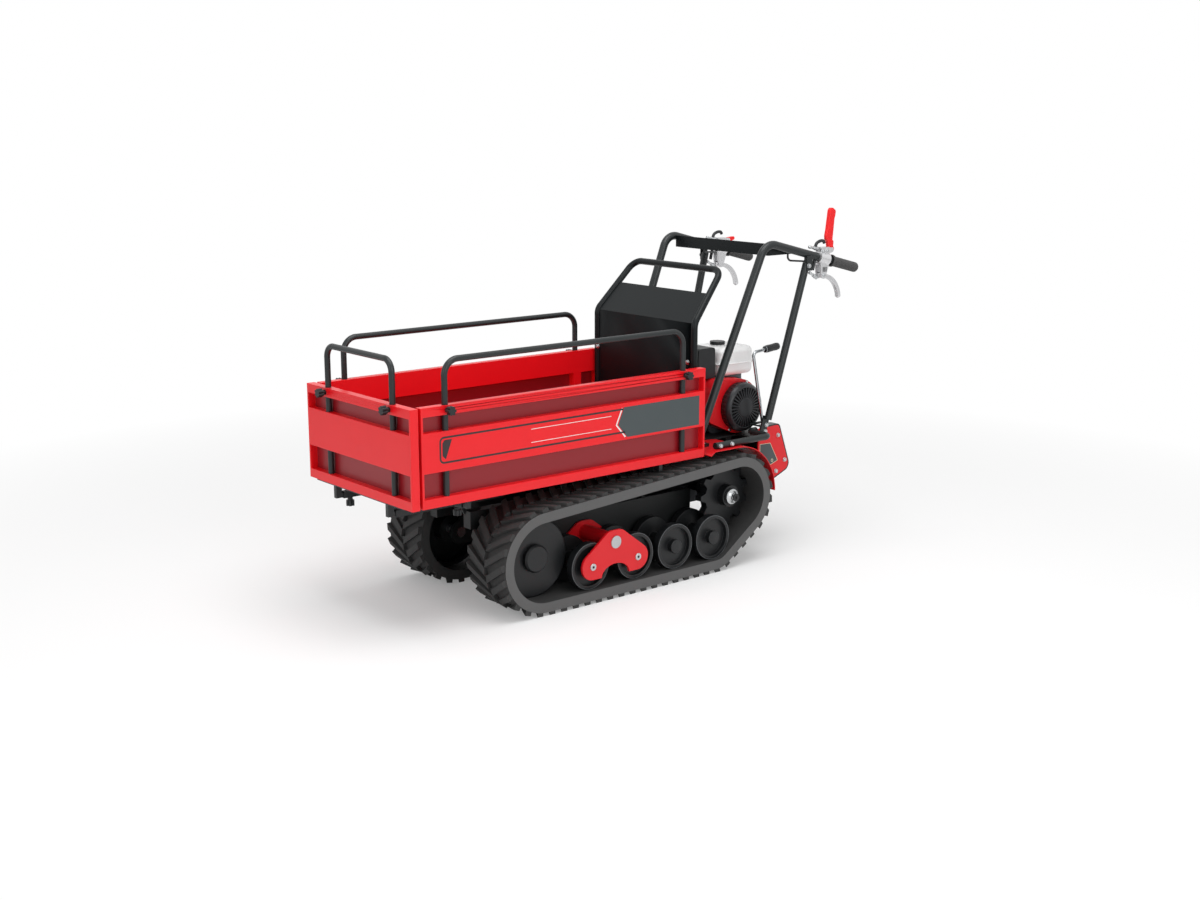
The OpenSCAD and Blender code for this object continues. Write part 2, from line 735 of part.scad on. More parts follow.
function tooth_ring(n, root, tip) = [for (i = [0:n - 1])
    for (k = [[-0.32, root], [-0.13, tip], [0.13, tip], [0.32, root]])
        let (a = (i + k[0]) * 360 / n) [k[1] * cos(a), k[1] * sin(a)]];

// Rear sprocket with its half shaft, outer hub disc and castellated nut
module sprocket() {
    disc_t = 30;
    hub_y = wheel_y + 44;
    color(black) union() {
        slab(track_y - disc_t / 2, track_y + disc_t / 2) translate([sprocket_x, sprocket_z])
            polygon(tooth_ring(sprocket_teeth, sprocket_r - 24, sprocket_r - 0.2));
        rod_y(sprocket_x, sprocket_z, half_shaft_r, gear_half - 30, hub_y + 30);
        rod_y(sprocket_x, sprocket_z, 40, track_plate_y + 4, hub_y);
        rod_y(sprocket_x, sprocket_z, 28, hub_y - 1, hub_y + 10);
        difference() {
            rod_y(sprocket_x, sprocket_z, 17, hub_y + 9, hub_y + 26);
            for (a = [0:60:120]) translate([sprocket_x, hub_y + 24, sprocket_z]) rotate([0, a, 0])
                cube([5, 8, 50], center = true);
        }
    }
}

// Rocker: two cranked plates joined by the pivot tube, with the pins of its two rollers
module rocker() {
    x = [roller_x[1], roller_x[0]];
    lobe = 46;
    outer_face = rocker_outer_y + rocker_plate_t;
    color(red) difference() {
        union() {
            for (y = [rocker_inner_y, rocker_outer_y]) slab(y, y + rocker_plate_t) difference() {
                union() {
                    polygon(wrap([[x[1], roller_z, lobe], [rocker_x + 14, rocker_z, lobe - 4],
                        [rocker_x - 14, rocker_z, lobe - 4], [x[0], roller_z, lobe]]));
                }
                polygon([for (a = [0:6:180])
                    [rocker_x + 62 * cos(a), roller_z - lobe - 1 + (lobe - 4) * sin(a)]]);
            }
            rod_y(rocker_x, rocker_z, rocker_pin_r + 9, rocker_inner_y, rocker_outer_y + rocker_plate_t);
            for (q = x) {
                rod_y(q, roller_z, roller_axle_r, rocker_inner_y + 1, rocker_outer_y + 1);
                rod_y(q, roller_z, 10, outer_face - 1, outer_face + 3);
            }
        }
        rod_y(rocker_x, rocker_z, rocker_pin_r + running_gap, 0, track_y + track_w);
    }
}

// Gearbox between the beams, with bores for the half shafts and the input shaft
module gearbox() {
    color(steel) difference() {
        union() {
            slab(-gear_half, gear_half) polygon(wrap([[sprocket_x + 62, sprocket_z - 46, 20],
                [sprocket_x + 62, sprocket_z + 60, 20], [gear_in_x + 20, gear_in_z + 14, 20],
                [gear_in_x - 30, gear_in_z + 14, 20], [sprocket_x - 74, sprocket_z + 46, 20],
                [sprocket_x - 74, sprocket_z - 46, 20]]));
            both_sides() {
                rod_y(sprocket_x, sprocket_z, 46, gear_half - 1, gear_half + 4);
                box([sprocket_x - 60, sprocket_x + 40], [gear_half - 1, beam_y - beam_w / 2],
                    [beam_z + 8, beam_top - 8]);
            }
        }
        both_sides()
            rod_y(sprocket_x, sprocket_z, half_shaft_r + running_gap, gear_half - 32, gear_half + 40);
        rod_y(gear_in_x, gear_in_z, input_r + running_gap, -gear_half - 1, -gear_half + 52);
    }
}

module pulley(x, z, r, shaft_r, y0) {
    half = pulley_w / 2;
    color(steel) union() {
        translate([x, belt_plane_y, z]) rotate([-90, 0, 0]) rotate_extrude() polygon([
            [0, -half], [r, -half], [r, -half + 1.5], [r - v_belt_t, -half + 3.5],
            [r - v_belt_t, half - 3.5], [r, half - 1.5], [r, half], [0, half]]);
        rod_y(x, z, shaft_r, belt_plane_y, y0);
    }
}

module engine_pulley() {
    pulley(crank_x, crank_z, engine_pulley_r, crank_r, block_y - 60);
}

module gearbox_pulley() {
    pulley(gear_in_x, gear_in_z, gear_pulley_r, input_r, -gear_half + 50);
}

// Drive belt from the engine pulley to the gearbox pulley, lying in their grooves
module drive_belt() {
    c = [[gear_in_x, gear_in_z, gear_pulley_r - v_belt_t + rest_gap],
        [crank_x, crank_z, engine_pulley_r - v_belt_t + rest_gap]];
    color(black) slab(belt_plane_y - 4, belt_plane_y + 4) difference() {
        polygon(wrap(grow(c, v_belt_t)));
        polygon(wrap(c));
    }
}

module casing_plates() {
    color(red) both_sides() slab(casing_y, casing_y + casing_t) polygon(wrap(casing_corners));
}

// Black sheet round the rear casing, with a slot for the gear lever, and the guard over the drive belt
module rear_covers() {
    guard = [[gear_in_x, gear_in_z, gear_pulley_r + 16], [crank_x, crank_z, engine_pulley_r + 16]];
    shell = 3;
    front_cut = 26;
    y0 = belt_plane_y - pulley_w / 2 - 0.6 - shell;
    color(black) {
        difference() {
            slab(-casing_y - casing_t, casing_y + casing_t) difference() {
                polygon(wrap(grow(casing_corners, wrap_t)));
                polygon(wrap(casing_corners));
            }
            box([casing_front_x - front_cut, casing_front_x + tank_l], [-box_w, box_w], [0, crank_z]);
            box([deck_rear_x - tank_l, casing_front_x], [block_y - block_w - 10, recoil_y + 8],
                [deck_top + 1, crank_z]);
            box([gear_lever_x - 40, gear_lever_x + 44], [gear_lever_y - 12, gear_lever_y + 12],
                [gear_lever_z + 8, crank_z]);
        }
        slab(y0, y0 + shell) polygon(wrap(guard));
        slab(y0, -deck_half) difference() {
            polygon(wrap(guard));
            polygon(wrap(grow(guard, -shell)));
        }
    }
}

// Sheet over the rear of each track, bent down at its front edge
module mudguards() {
    r = mudguard_z - sprocket_z;
    top_r = r + mudguard_t;
    arc = [for (a = [90:6:180]) [sprocket_x + r * cos(a), sprocket_z + r * sin(a)]];
    arc_top = [for (a = [180:-6:90]) [sprocket_x + top_r * cos(a), sprocket_z + top_r * sin(a)]];
    front = mudguard_front_x;
    tip = front + mudguard_flap;
    drop = 14;
    color(red) both_sides() slab(mudguard_y[0], mudguard_y[1]) polygon(concat(
        [[tip, mudguard_z - drop], [front, mudguard_z]], arc, arc_top,
        [[front + 1, mudguard_z + mudguard_t], [tip + 2, mudguard_z - drop + mudguard_t]]));
}

// Tube over each mudguard that turns in to the rear casing
module guard_bars() {
    turn_x = casing_front_x + guard_d / 2 + 6;
    inner_y = casing_y - 30;
    color(black) both_sides() bent_bar([[mudguard_front_x - 22, guard_y, guard_z],
        [turn_x, guard_y, guard_z], [turn_x, inner_y, guard_z],
        [casing_front_x - 20, inner_y, guard_z]], guard_d / 2, guard_bend);
}

// Crankcase with the finned cylinder that leans forwards
module engine_block() {
    fins = 7;
    lean = 25;
    fin_half = 46;
    color("#6d6f72") difference() {
        union() {
            slab(block_y - block_w, block_y) polygon(wrap([[crank_x + 78, deck_top + 20, 20],
                [crank_x + 60, crank_z + 60, 20], [crank_x - 60, crank_z + 70, 24],
                [crank_x - 80, deck_top + 20, 20]]));
            translate([crank_x, 0, crank_z]) rotate([0, 90 - lean, 0]) {
                translate([-36, block_y - 128, 40]) cube([72, 108, 130]);
                for (i = [0:fins - 1])
                    translate([-fin_half, block_y - fin_reach, 84 + i * 12]) cube([2 * fin_half, 132, 5]);
            }
            box([tank_x - 70, tank_x + 60], [block_y - 130, block_y - 20], [crank_z + 70, tank_z]);
        }
        rod_y(crank_x, crank_z, crank_r + running_gap, block_y - block_w - 10, block_y - 58);
    }
}

// Red housing of the cooling fan, with the round seat of the recoil cover
module fan_shroud() {
    color(red) slab(block_y, shroud_y) polygon(wrap([[crank_x, crank_z, recoil_r + 11],
        [cylinder_x + 22, cylinder_z - 42, 50], [cylinder_x - 4, cylinder_z + 14, 62]]));
}

// Black cover of the recoil starter, with a ring of slots round its face
module recoil_cover() {
    slots = 24;
    face = recoil_r - 18;
    color(black) translate([crank_x, shroud_y, crank_z]) rotate([-90, 0, 0]) difference() {
        rotate_extrude() polygon([[0, 0], [recoil_r, 0], [recoil_r, recoil_depth - 16],
            [face, recoil_depth], [0, recoil_depth]]);
        for (i = [0:slots - 1]) rotate([0, 0, i * 360 / slots])
            translate([face * 0.45, -1.5, recoil_depth - 4]) cube([face * 0.42, 3, 5]);
    }
}

module fuel_tank() {
    lip = 5;
    r = 22;
    w = tank_w / 2;
    x = [tank_x - tank_l / 2, tank_x + tank_l / 2];
    top = tank_z + tank_h;
    color(pale) difference() {
        union() {
            slab(tank_y - w, tank_y + w) polygon(wrap([[x[1] - r, tank_z + r, r], [x[1] - r, top - r, r],
                [x[0] + r, top - r, r], [x[0] + r, tank_z + r, r]]));
            box([x[0] - lip, x[1] + lip], [tank_y - w - lip, tank_y + w + lip],
                [tank_z + 44, tank_z + 50]);
            translate([cap_x, tank_y, tank_z + tank_h - 1]) cylinder(r = 26, h = 5);
        }
        translate([cap_x, tank_y, tank_z + tank_h - 20]) cylinder(r = 20 + running_gap, h = 30);
    }
}

// Screw cap with a plug that turns in the filler neck
module fuel_cap() {
    grips = 12;
    color(black) translate([cap_x, tank_y, tank_z + tank_h + 4 + rest_gap]) difference() {
        union() {
            cylinder(r = cap_r, h = 12);
            translate([0, 0, -16]) cylinder(r = 20, h = 17);
        }
        for (i = [0:grips - 1])
            rotate([0, 0, i * 360 / grips]) translate([cap_r + 2, 0, -1]) cylinder(r = 4, h = 20);
    }
}

module air_cleaner() {
    x = tank_x + tank_l / 2 + 12;
    top = tank_z + tank_h + 8;
    color(black) union() {
        slab(tank_y - 44, tank_y + 72) polygon(wrap([[x + 84, tank_z + 10, 10], [x + 78, top - 12, 12],
            [x + 18, top - 12, 12], [x + 14, tank_z + 10, 10]]));
        box([tank_x + tank_l / 2, x + 14], [tank_y - 20, tank_y + 20], [tank_z + 60, tank_z + 90]);
    }
}

module muffler() {
    x = tank_x + tank_l / 2 + 20;
    pipe_y = block_y - fin_reach - 22;
    color("#77787a") union() {
        slab(tank_y - 168, tank_y - 62) polygon(wrap([[x + 70, tank_z + 20, 20], [x + 70, tank_z + 84, 20],
            [x + 20, tank_z + 84, 20], [x + 20, tank_z + 20, 20]]));
        bent_bar([[x + 40, pipe_y, tank_z + 10], [x + 40, pipe_y, cylinder_z + 28],
            [x + 40, block_y - fin_reach, cylinder_z + 28]], 13, 16);
        rod([x + 62, tank_y - 150, tank_z + 60], [x + 112, tank_y - 150, tank_z + 60], 12);
    }
}

// Point of a strut at its upper bracket
function strut_top(s) = on_bar(s, strut_at) - [0, 0, strut_drop];
function strut_foot(s) = [strut_foot_x, s * (casing_y + casing_t + strut_d / 2 + 1), strut_foot_z];

// Two bent tubes on feet, each with a bolted strut down to the rear casing
module handlebars() {
    color(black) for (s = [-1, 1]) {
        foot = bar_foot(s);
        union() {
            bent_bar([foot, bar_corner(s), bar_end(s)], bar_r, bar_bend);
            box([foot[0] - 40, foot[0] - 1], [foot[1] - 22, foot[1] + 22],
                [mudguard_z + mudguard_t, foot[2] + 4]);
            rod(on_bar(s, strut_at), strut_top(s), 9);
        }
        union() {
            rod(strut_top(s), strut_foot(s), strut_d / 2);
            translate(strut_foot(s)) rotate([0, -16, 0])
                translate([-16, s > 0 ? -strut_d / 2 - 1 : strut_d / 2 - 5, -62]) cube([32, 6, 74]);
        }
    }
}

// Wedge-shaped console between the bars: its top follows them and its underside is level
module dash_plate() {
    rise = atan2(bar_bend_z - bar_end_z, bar_bend_x - bar_end_x);
    edge_h = 4;
    front = on_bar(1, bar_run - dash_setback);
    rear = on_bar(1, bar_run - dash_setback - (dash_depth - edge_h) / sin(rise));
    half = front[1] - bar_r - bend_swell - rest_gap;
    low = front[2] - dash_depth;
    color(slate) slab(-half, half)
        polygon([[front[0], low], [front[0], front[2]], [rear[0], rear[2]], [rear[0], low]]);
}

module grips() {
    color("#5a5a5a") for (s = [-1, 1]) difference() {
        union() {
            rod(on_bar(s, -5), on_bar(s, grip_l), grip_d / 2);
            rod(on_bar(s, grip_l - 8), on_bar(s, grip_l), grip_d / 2 + 4);
        }
        rod(bar_end(s), on_bar(s, grip_l + 5), bar_r);
    }
}

// Axis of a clutch lever under its perch
function lever_pivot(s) = on_bar(s, perch_at + 4) - [0, 0, lever_axis_d];
// Axis of the lever above and behind a perch
function thumb_pivot(s) = on_bar(s, perch_at - 40) + [0, 0, 40];

// Point on the line of a clutch cable, at a distance forward of its perch
function cable_end(s, d) = on_bar(s, perch_at + d) - [0, s * 0.42 * d, bar_r + 10];

// Cast perch clamped on each bar, with ears for the levers
module lever_perches() {
    ear = 6;
    color(steel) for (s = [-1, 1]) {
        c = on_bar(s, perch_at);
        p = lever_pivot(s);
        q = thumb_pivot(s);
        difference() {
            union() {
                rod(on_bar(s, perch_at - 26), on_bar(s, perch_at + 26), bar_r + 9);
                box([c[0] - 24, c[0] + 20], [c[1] - 14, c[1] + 14], [c[2] + 10, c[2] + 42]);
                for (e = [-1, 1]) {
                    y = p[1] + e * 12;
                    slab(y - ear / 2, y + ear / 2) polygon(wrap([[p[0], p[2], 13],
                        [c[0] + 8, c[2] - 14, 16], [c[0] - 10, c[2] - 14, 16]]));
                }
                rod_y(p[0], p[2], lever_pin_r, p[1] - 12, p[1] + 12);
                for (e = [-1, 1]) {
                    y = q[1] + e * 10;
                    slab(y - ear / 2, y + ear / 2) polygon(wrap([[q[0], q[2], 9], [c[0] - 10, c[2] + 22, 9],
                        [c[0] - 10, c[2] + 30, 9]]));
                }
                rod_y(q[0], q[2], lever_pin_r, q[1] - 10, q[1] + 10);
                rod(cable_end(s, 0), cable_end(s, adjuster_l), 5);
            }
            rod(on_bar(s, perch_at - 40), on_bar(s, perch_at + 40), bar_r);
        }
    }
}

// Curved clutch lever on its pin, hanging behind and below the perch
module clutch_lever() {
    p = lever_pivot(1);
    r = 100;
    w = 8;
    depth = 15;
    o = [p[0] - 6, p[2] - r + 4];
    arc = [for (a = [90:5:175]) o + r * [cos(a), sin(a)]];
    inner = [for (a = [175:-5:90]) o + (r - depth) * [cos(a), sin(a)]];
    color(steel) difference() {
        union() {
            slab(p[1] - w, p[1] + w) polygon(concat(arc, inner));
            rod_y(p[0], p[2], lever_pin_r + 6, p[1] - w, p[1] + w);
        }
        rod_y(p[0], p[2], lever_pin_r + running_gap, p[1] - 20, p[1] + 20);
    }
}

// Red drive lever on the left perch, upright with its foot ahead of its top
module drive_lever() {
    p = thumb_pivot(1);
    color("#ff2222") difference() {
        union() {
            slab(p[1] - 6, p[1] + 6) {
                polygon(wrap([[p[0], p[2], 11], [p[0] + 8, p[2] + 30, 9], [p[0] - 6, p[2] + 28, 8]]));
                polygon(wrap([[p[0] + 16, p[2] + 44, 10], [p[0] - 2, p[2] + drive_lever_h - 14, 14],
                    [p[0] - 6, p[2] + drive_lever_h - 16, 12], [p[0] + 2, p[2] + 30, 9]]));
            }
        }
        rod_y(p[0], p[2], lever_pin_r + running_gap, p[1] - 20, p[1] + 20);
    }
}

// Thumb lever on the right perch, level at rest
module throttle_lever() {
    c = thumb_pivot(-1);
    color("#ff2222") difference() {
        slab(c[1] - 5, c[1] + 5) polygon(wrap([[c[0], c[2], 10], [c[0] - throttle_l, c[2] + 6, 7]]));
        rod_y(c[0], c[2], lever_pin_r + running_gap, c[1] - 20, c[1] + 20);
    }
}

// Bent gear lever on a cross pin in the rear casing, with a grip at its end
module gear_lever() {
    base = [gear_lever_x, gear_lever_y, gear_lever_z];
    knee = base + [gear_knee[0], 0, gear_knee[1]];
    tip = knee + [gear_arm[0], 0, gear_arm[1]];
    color(steel) union() {
        difference() {
            union() {
                bent_bar([base, knee, tip], gear_lever_r, 16);
                rod_y(base[0], base[2], 13, gear_lever_y - 8, gear_lever_y + 8);
            }
            rod_y(base[0], base[2], lever_pin_r + running_gap, gear_lever_y - 20, gear_lever_y + 20);
        }
        rod(tip + 0.5 * (knee - tip), tip - unit(knee - tip) * 6, 13);
    }
}

// Control cables from the perches up into the console
module control_cables() {
    r = 3.5;
    bend = 16;
    top = on_bar(1, bar_run - dash_setback)[2] - dash_depth;
    color(black) for (s = [-1, 1]) {
        a = cable_end(s, adjuster_l + 26);
        b = [a[0] + 76, a[1] - s * 22, a[2] + 6];
        bent_bar([cable_end(s, adjuster_l), a, b, [b[0], b[1], top]], r, bend);
    }
}

chassis_frame();
axle_pins();
for (s = SIDES) on_side(s) track_belt();
gearbox();
casing_plates();
rear_covers();
mudguards();
guard_bars();
engine_block();
fan_shroud();
recoil_cover();
fuel_tank();
air_cleaner();
muffler();
drive_belt();
engine_pulley();
gearbox_pulley();
fuel_cap();
handlebars();
dash_plate();
grips();
lever_perches();
control_cables();
bed_frame();
headboard();
for (s = SIDES) on_side(s) panel_side();
panel_front();
for (s = SIDES) on_side(s) rail_side();
rail_front();
for (s = SIDES) {
    on_side(s) clamp_knob_side(side_legs[1]);
    on_side(s) clamp_knob_side(side_legs[0]);
    on_side(s) clamp_knob_front(front_leg_span / 2);
    on_side(s) lock_knob_side();
    on_side(s) rocker();
    on_side(s) sprocket();
    on_side(s) idler();
    on_side(s) clutch_lever();
    for (i = [1:4])
        on_side(s) roller(roller_x[i - 1]);
}
lock_knob_front();
drive_lever();
throttle_lever();
gear_lever();
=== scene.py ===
"""Looks of a tracked power carrier: finishes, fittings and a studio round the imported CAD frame."""

import logging
import math
from dataclasses import dataclass, field, replace
from enum import Enum
from typing import Any, Iterable, Self, Sequence

import bmesh
import bpy
from mathutils import Matrix, Vector


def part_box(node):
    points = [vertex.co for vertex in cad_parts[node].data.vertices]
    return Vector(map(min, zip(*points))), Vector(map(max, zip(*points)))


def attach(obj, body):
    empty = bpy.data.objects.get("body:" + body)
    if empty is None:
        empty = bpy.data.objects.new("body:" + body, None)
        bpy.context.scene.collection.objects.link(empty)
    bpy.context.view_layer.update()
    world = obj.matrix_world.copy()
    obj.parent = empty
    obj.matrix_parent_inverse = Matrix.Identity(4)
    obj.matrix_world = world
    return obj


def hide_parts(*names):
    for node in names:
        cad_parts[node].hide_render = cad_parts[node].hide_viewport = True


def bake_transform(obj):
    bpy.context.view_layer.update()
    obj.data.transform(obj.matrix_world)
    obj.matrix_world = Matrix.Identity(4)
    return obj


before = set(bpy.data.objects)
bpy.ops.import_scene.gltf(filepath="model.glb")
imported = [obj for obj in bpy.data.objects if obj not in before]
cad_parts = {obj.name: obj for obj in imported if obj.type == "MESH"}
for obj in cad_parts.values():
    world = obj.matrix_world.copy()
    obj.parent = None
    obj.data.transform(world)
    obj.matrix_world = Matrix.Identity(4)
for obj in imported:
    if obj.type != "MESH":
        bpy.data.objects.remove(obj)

MM = 0.001
# Points closer than this are one point, in metres
WELD = 2e-5
# Radius under which a turned profile meets its axis, in millimetres
POLE = 1e-6
# Edges sharper than this many degrees are eased, in so many steps
SHARP, EASE_STEPS = 38, 2
# Roughness of a clear coat, height of the relief by its grain, and squeeze of drawn lines along their length
COAT_ROUGHNESS, RELIEF_SHARE, DRAWN_SHARE = 0.06, 0.2, 0.06
HERE = Matrix.Identity(4)
log = logging.getLogger("carrier")

Point = Sequence[float]
Pair = tuple[float, float]
Triple = tuple[float, float, float]
Mesh = bmesh.types.BMesh
Socket = bpy.types.NodeSocket


class Side(Enum):
    """The two sides of the machine, each with the sign of its Y."""

    LEFT = 1
    RIGHT = -1

    def __str__(self) -> str:
        """Returns the side's name, as in the names of pieces."""
        return self.name.lower()

    @property
    def out(self) -> Point:
        """Returns the direction away from the middle."""
        return (0, self.value, 0)


def linear(colour: str) -> tuple[float, float, float, float]:
    """Turns an sRGB hex colour into linear light.

    Args:
        colour: Six hex digits after a hash sign.

    Returns:
        Red, green, blue and alpha, in linear light.
    """
    parts = [int(colour[i : i + 2], 16) / 255 for i in (1, 3, 5)]
    rgb = [c / 12.92 if c <= 0.04045 else ((c + 0.055) / 1.055) ** 2.4 for c in parts]
    return (rgb[0], rgb[1], rgb[2], 1.0)


@dataclass
class Nodes:
    """A node tree that is being filled.

    Attributes:
        tree: Blender's node tree.
    """

    tree: bpy.types.NodeTree

    def feed(self, node: bpy.types.Node, inputs: dict[Any, Any]) -> None:
        """Sets or links inputs of a node.

        Args:
            node: The node.
            inputs: Socket name or number, to a value or to the socket that feeds it.
        """
        for key, value in inputs.items():
            if isinstance(value, Socket):
                self.tree.links.new(value, node.inputs[key])
            else:
                node.inputs[key].default_value = value

    def add(self, kind: str, inputs: dict[Any, Any] | None = None, **settings: Any) -> bpy.types.NodeOutputs:
        """Adds one shader node.

        Args:
            kind: Blender's name for the node type, without its prefix.
            inputs: Its inputs, as for feed().
            **settings: Properties of the node.

        Returns:
            Outputs of the new node.
        """
        node = self.tree.nodes.new(f"ShaderNode{kind}")
        for key, value in settings.items():
            setattr(node, key, value)
        self.feed(node, inputs or {})
        return node.outputs

    def maths(self, operation: str, *values: Any) -> Socket:
        """Adds one node of arithmetic.

        Args:
            operation: Blender's name for the operation.
            *values: Numbers, or the sockets that feed it.

        Returns:
            Its result.
        """
        return self.add("Math", dict(enumerate(values)), operation=operation)[0]


class Texture(Enum):
    """How a surface was made, which sets its fine relief."""

    SPRAYED = "sprayed"
    MOULDED = "moulded"
    CAST = "cast"
    DRAWN = "drawn"
    PRINTED = "printed"


@dataclass(frozen=True)
class Zone:
    """A part of a surface with another colour, between two planes of the object.

    Attributes:
        axis: Axis that the planes cross, 0 to 2.
        low: Distance of the first plane from the origin.
        high: Distance of the second plane.
        colour: sRGB colour between them.
        facing: Least share of the axis in the surface's direction.
    """

    axis: int
    low: float
    high: float
    colour: str
    facing: float = 0.7

    def mask(self, nodes: Nodes, coords: bpy.types.NodeOutputs) -> Socket:
        """Adds the nodes that find the zone.

        Args:
            nodes: The material's nodes.
            coords: Its texture coordinates.

        Returns:
            1 inside the zone and 0 outside it.
        """
        parts = [nodes.add("SeparateXYZ", {"Vector": coords[k]})[self.axis] for k in ("Object", "Normal")]
        spot, way = (nodes.maths("ABSOLUTE", part) for part in parts)
        past = nodes.maths("GREATER_THAN", spot, self.low * MM)
        short = nodes.maths("LESS_THAN", spot, self.high * MM)
        faced = nodes.maths("GREATER_THAN", way, self.facing)
        return nodes.maths("MULTIPLY", nodes.maths("MULTIPLY", past, short), faced)


@dataclass(frozen=True)
class Finish:
    """A material with a little variation of colour, gloss and relief.

    Attributes:
        name: What the material is and how it was made.
        colour: Main sRGB colour.
        shade: Colour of its darker patches.
        roughness: Middle of the roughness.
        spread: How far the roughness strays each way.
        texture: How the surface was made.
        patch_mm: Size of the colour patches.
        grain_mm: Size of the fine relief.
        relief: Strength of the fine relief.
        metallic: 1 for bare metal.
        coat: Clear gloss over the colour.
        zones: Parts of the surface with another colour.
        mirror: Strength of the plain reflection.
    """

    name: str
    colour: str
    shade: str
    roughness: float
    spread: float = 0.05
    texture: Texture = Texture.SPRAYED
    patch_mm: float = 120.0
    grain_mm: float = 4.0
    relief: float = 0.05
    metallic: float = 0.0
    coat: float = 0.0
    zones: tuple[Zone, ...] = ()
    mirror: float = 0.4

    def build(self) -> bpy.types.Material:
        """Makes the material, or returns it if it has been made.

        Returns:
            The Blender material of this finish.
        """
        made = bpy.data.materials.get(self.name)
        if made:
            return made
        made = bpy.data.materials.new(self.name)
        made.use_nodes = True
        nodes = Nodes(made.node_tree)
        coords = nodes.add("TexCoord")
        place = coords["Object"]
        patches = {"Vector": place, "Scale": 1 / (self.patch_mm * MM), "Detail": 4.0}
        tones = {0: nodes.add("TexNoise", patches)["Fac"], 6: linear(self.shade), 7: linear(self.colour)}
        tone = nodes.add("Mix", tones, data_type="RGBA")[2]
        for zone in self.zones:
            share = zone.mask(nodes, coords)
            tone = nodes.add("Mix", {0: share, 6: tone, 7: linear(zone.colour)}, data_type="RGBA")[2]
        grain = self.grain(nodes, place)
        ends = {"To Min": self.roughness - self.spread, "To Max": self.roughness + self.spread}
        rise = {"Strength": self.relief, "Distance": self.grain_mm * MM * RELIEF_SHARE}
        looks = {
            "Base Color": tone,
            "Roughness": nodes.add("MapRange", {"Value": grain, **ends})["Result"],
            "Normal": nodes.add("Bump", {"Height": grain, **rise})["Normal"],
            "Metallic": self.metallic,
            "Coat Weight": self.coat,
            "Coat Roughness": COAT_ROUGHNESS,
            "Specular IOR Level": self.mirror,
        }
        nodes.feed(made.node_tree.nodes["Principled BSDF"], looks)
        return made

    def grain(self, nodes: Nodes, place: Socket) -> Socket:
        """Adds the fine relief of the surface.

        Args:
            nodes: The material's nodes.
            place: Object coordinates.

        Returns:
            Height of the relief, about 0 to 1.
        """
        scale = 1 / (self.grain_mm * MM)
        if self.texture is Texture.CAST:
            return nodes.add("TexVoronoi", {"Vector": place, "Scale": scale}, feature="SMOOTH_F1")["Distance"]
        if self.texture is Texture.DRAWN:
            squeezed = scale * DRAWN_SHARE
            along = nodes.add("Mapping", {"Vector": place, "Scale": (squeezed, squeezed, scale)})["Vector"]
            return nodes.add("TexNoise", {"Vector": along, "Scale": 1.0, "Detail": 3.0})["Fac"]
        detail = 6.0 if self.texture is Texture.MOULDED else 2.0
        return nodes.add("TexNoise", {"Vector": place, "Scale": scale, "Detail": detail})["Fac"]


# Sprayed gloss enamel on sheet steel: clean saturated red under a clear shine, with faint orange peel
RED_ENAMEL = Finish("red_gloss_enamel", "#EE101C", "#E60D19", 0.36, 0.04, grain_mm=5, coat=0.05)
# The bed's underside and the guide tubes under the box are painted near-black: painted shade under the box
UNDERSIDE_SHADE = Zone(2, 0, 431.6, "#16181A", -1.0)
# The sunk fields on the sides and the front are painted dull dark red: painted shade in the recesses under
# the bands, inside and out
RECESS_SHADE = "#8F1620"
RED_SIDES = replace(RED_ENAMEL, name="red_enamel_sides", zones=(Zone(1, 287.5, 313.5, RECESS_SHADE), UNDERSIDE_SHADE))
RED_FRONT = replace(RED_ENAMEL, name="red_enamel_front", zones=(Zone(0, 984.5, 1010.5, RECESS_SHADE), UNDERSIDE_SHADE))
RED_FLOOR = replace(RED_ENAMEL, name="red_enamel_floor", zones=(replace(UNDERSIDE_SHADE, high=436.2),))
# The same enamel on thicker plate
RED_PLATE = Finish("red_enamel_on_plate", "#E0141F", "#D6101B", 0.38, relief=0.06, coat=0.05)
# Powder coat on steel tube: dark grey-black, soft shine and a fine pebble
BLACK_POWDER = Finish("black_powder_coat", "#222728", "#1D2122", 0.36, 0.06, grain_mm=2.5, relief=0.09)
# Powder coat on the chassis, more matt
CHASSIS_POWDER = Finish("chassis_powder_coat", "#131516", "#0E1011", 0.5, 0.08, grain_mm=3.0, relief=0.12)
# Gloss black enamel on the headboard and the console
BLACK_ENAMEL = Finish("black_gloss_enamel", "#0E1416", "#0B1012", 0.36, grain_mm=5, mirror=0.22)
# Moulded track rubber: grey, matt, with faint scuffs; its outer side face is painted paler as painted light,
# so the lugs read darker as painted shade
TRACK_RUBBER = Finish(
    "moulded_track_rubber", "#383838", "#2E2E2E", 0.72, 0.08, Texture.MOULDED,
    patch_mm=70, grain_mm=6, relief=0.22, zones=(Zone(1, 345.6, 348, "#5A5A5A"),),
)
# Soft rubber of the grips
GRIP_RUBBER = Finish(
    "moulded_grip_rubber", "#4A4A4A", "#3F3F3F", 0.62, 0.08, Texture.MOULDED,
    patch_mm=30, grain_mm=2, relief=0.2,
)
# Dark painted iron castings of the wheels
WHEEL_IRON = Finish(
    "painted_iron_casting", "#16181A", "#111315", 0.42, 0.08, Texture.CAST, grain_mm=5, relief=0.1
)
# Grey ring at the rim of a wheel: a painted highlight along the rim's edge
RIM_HIGHLIGHT = Finish(
    "worn_iron_edge", "#6A6D70", "#55585B", 0.4, 0.1, Texture.CAST, patch_mm=20, grain_mm=2, relief=0.1
)
# Turned bare steel: grey, bright, with fine lathe lines drawn coarse enough to show
TURNED_STEEL = Finish(
    "turned_bare_steel", "#C4C6C8", "#B2B4B7", 0.3, 0.1, Texture.DRAWN,
    patch_mm=40, grain_mm=1.2, relief=0.08, metallic=1.0,
)
# Zinc-plated fasteners
ZINC = Finish("zinc_plated_steel", "#CDCFD0", "#B9BCBE", 0.28, 0.08, patch_mm=10, grain_mm=2, metallic=1.0)
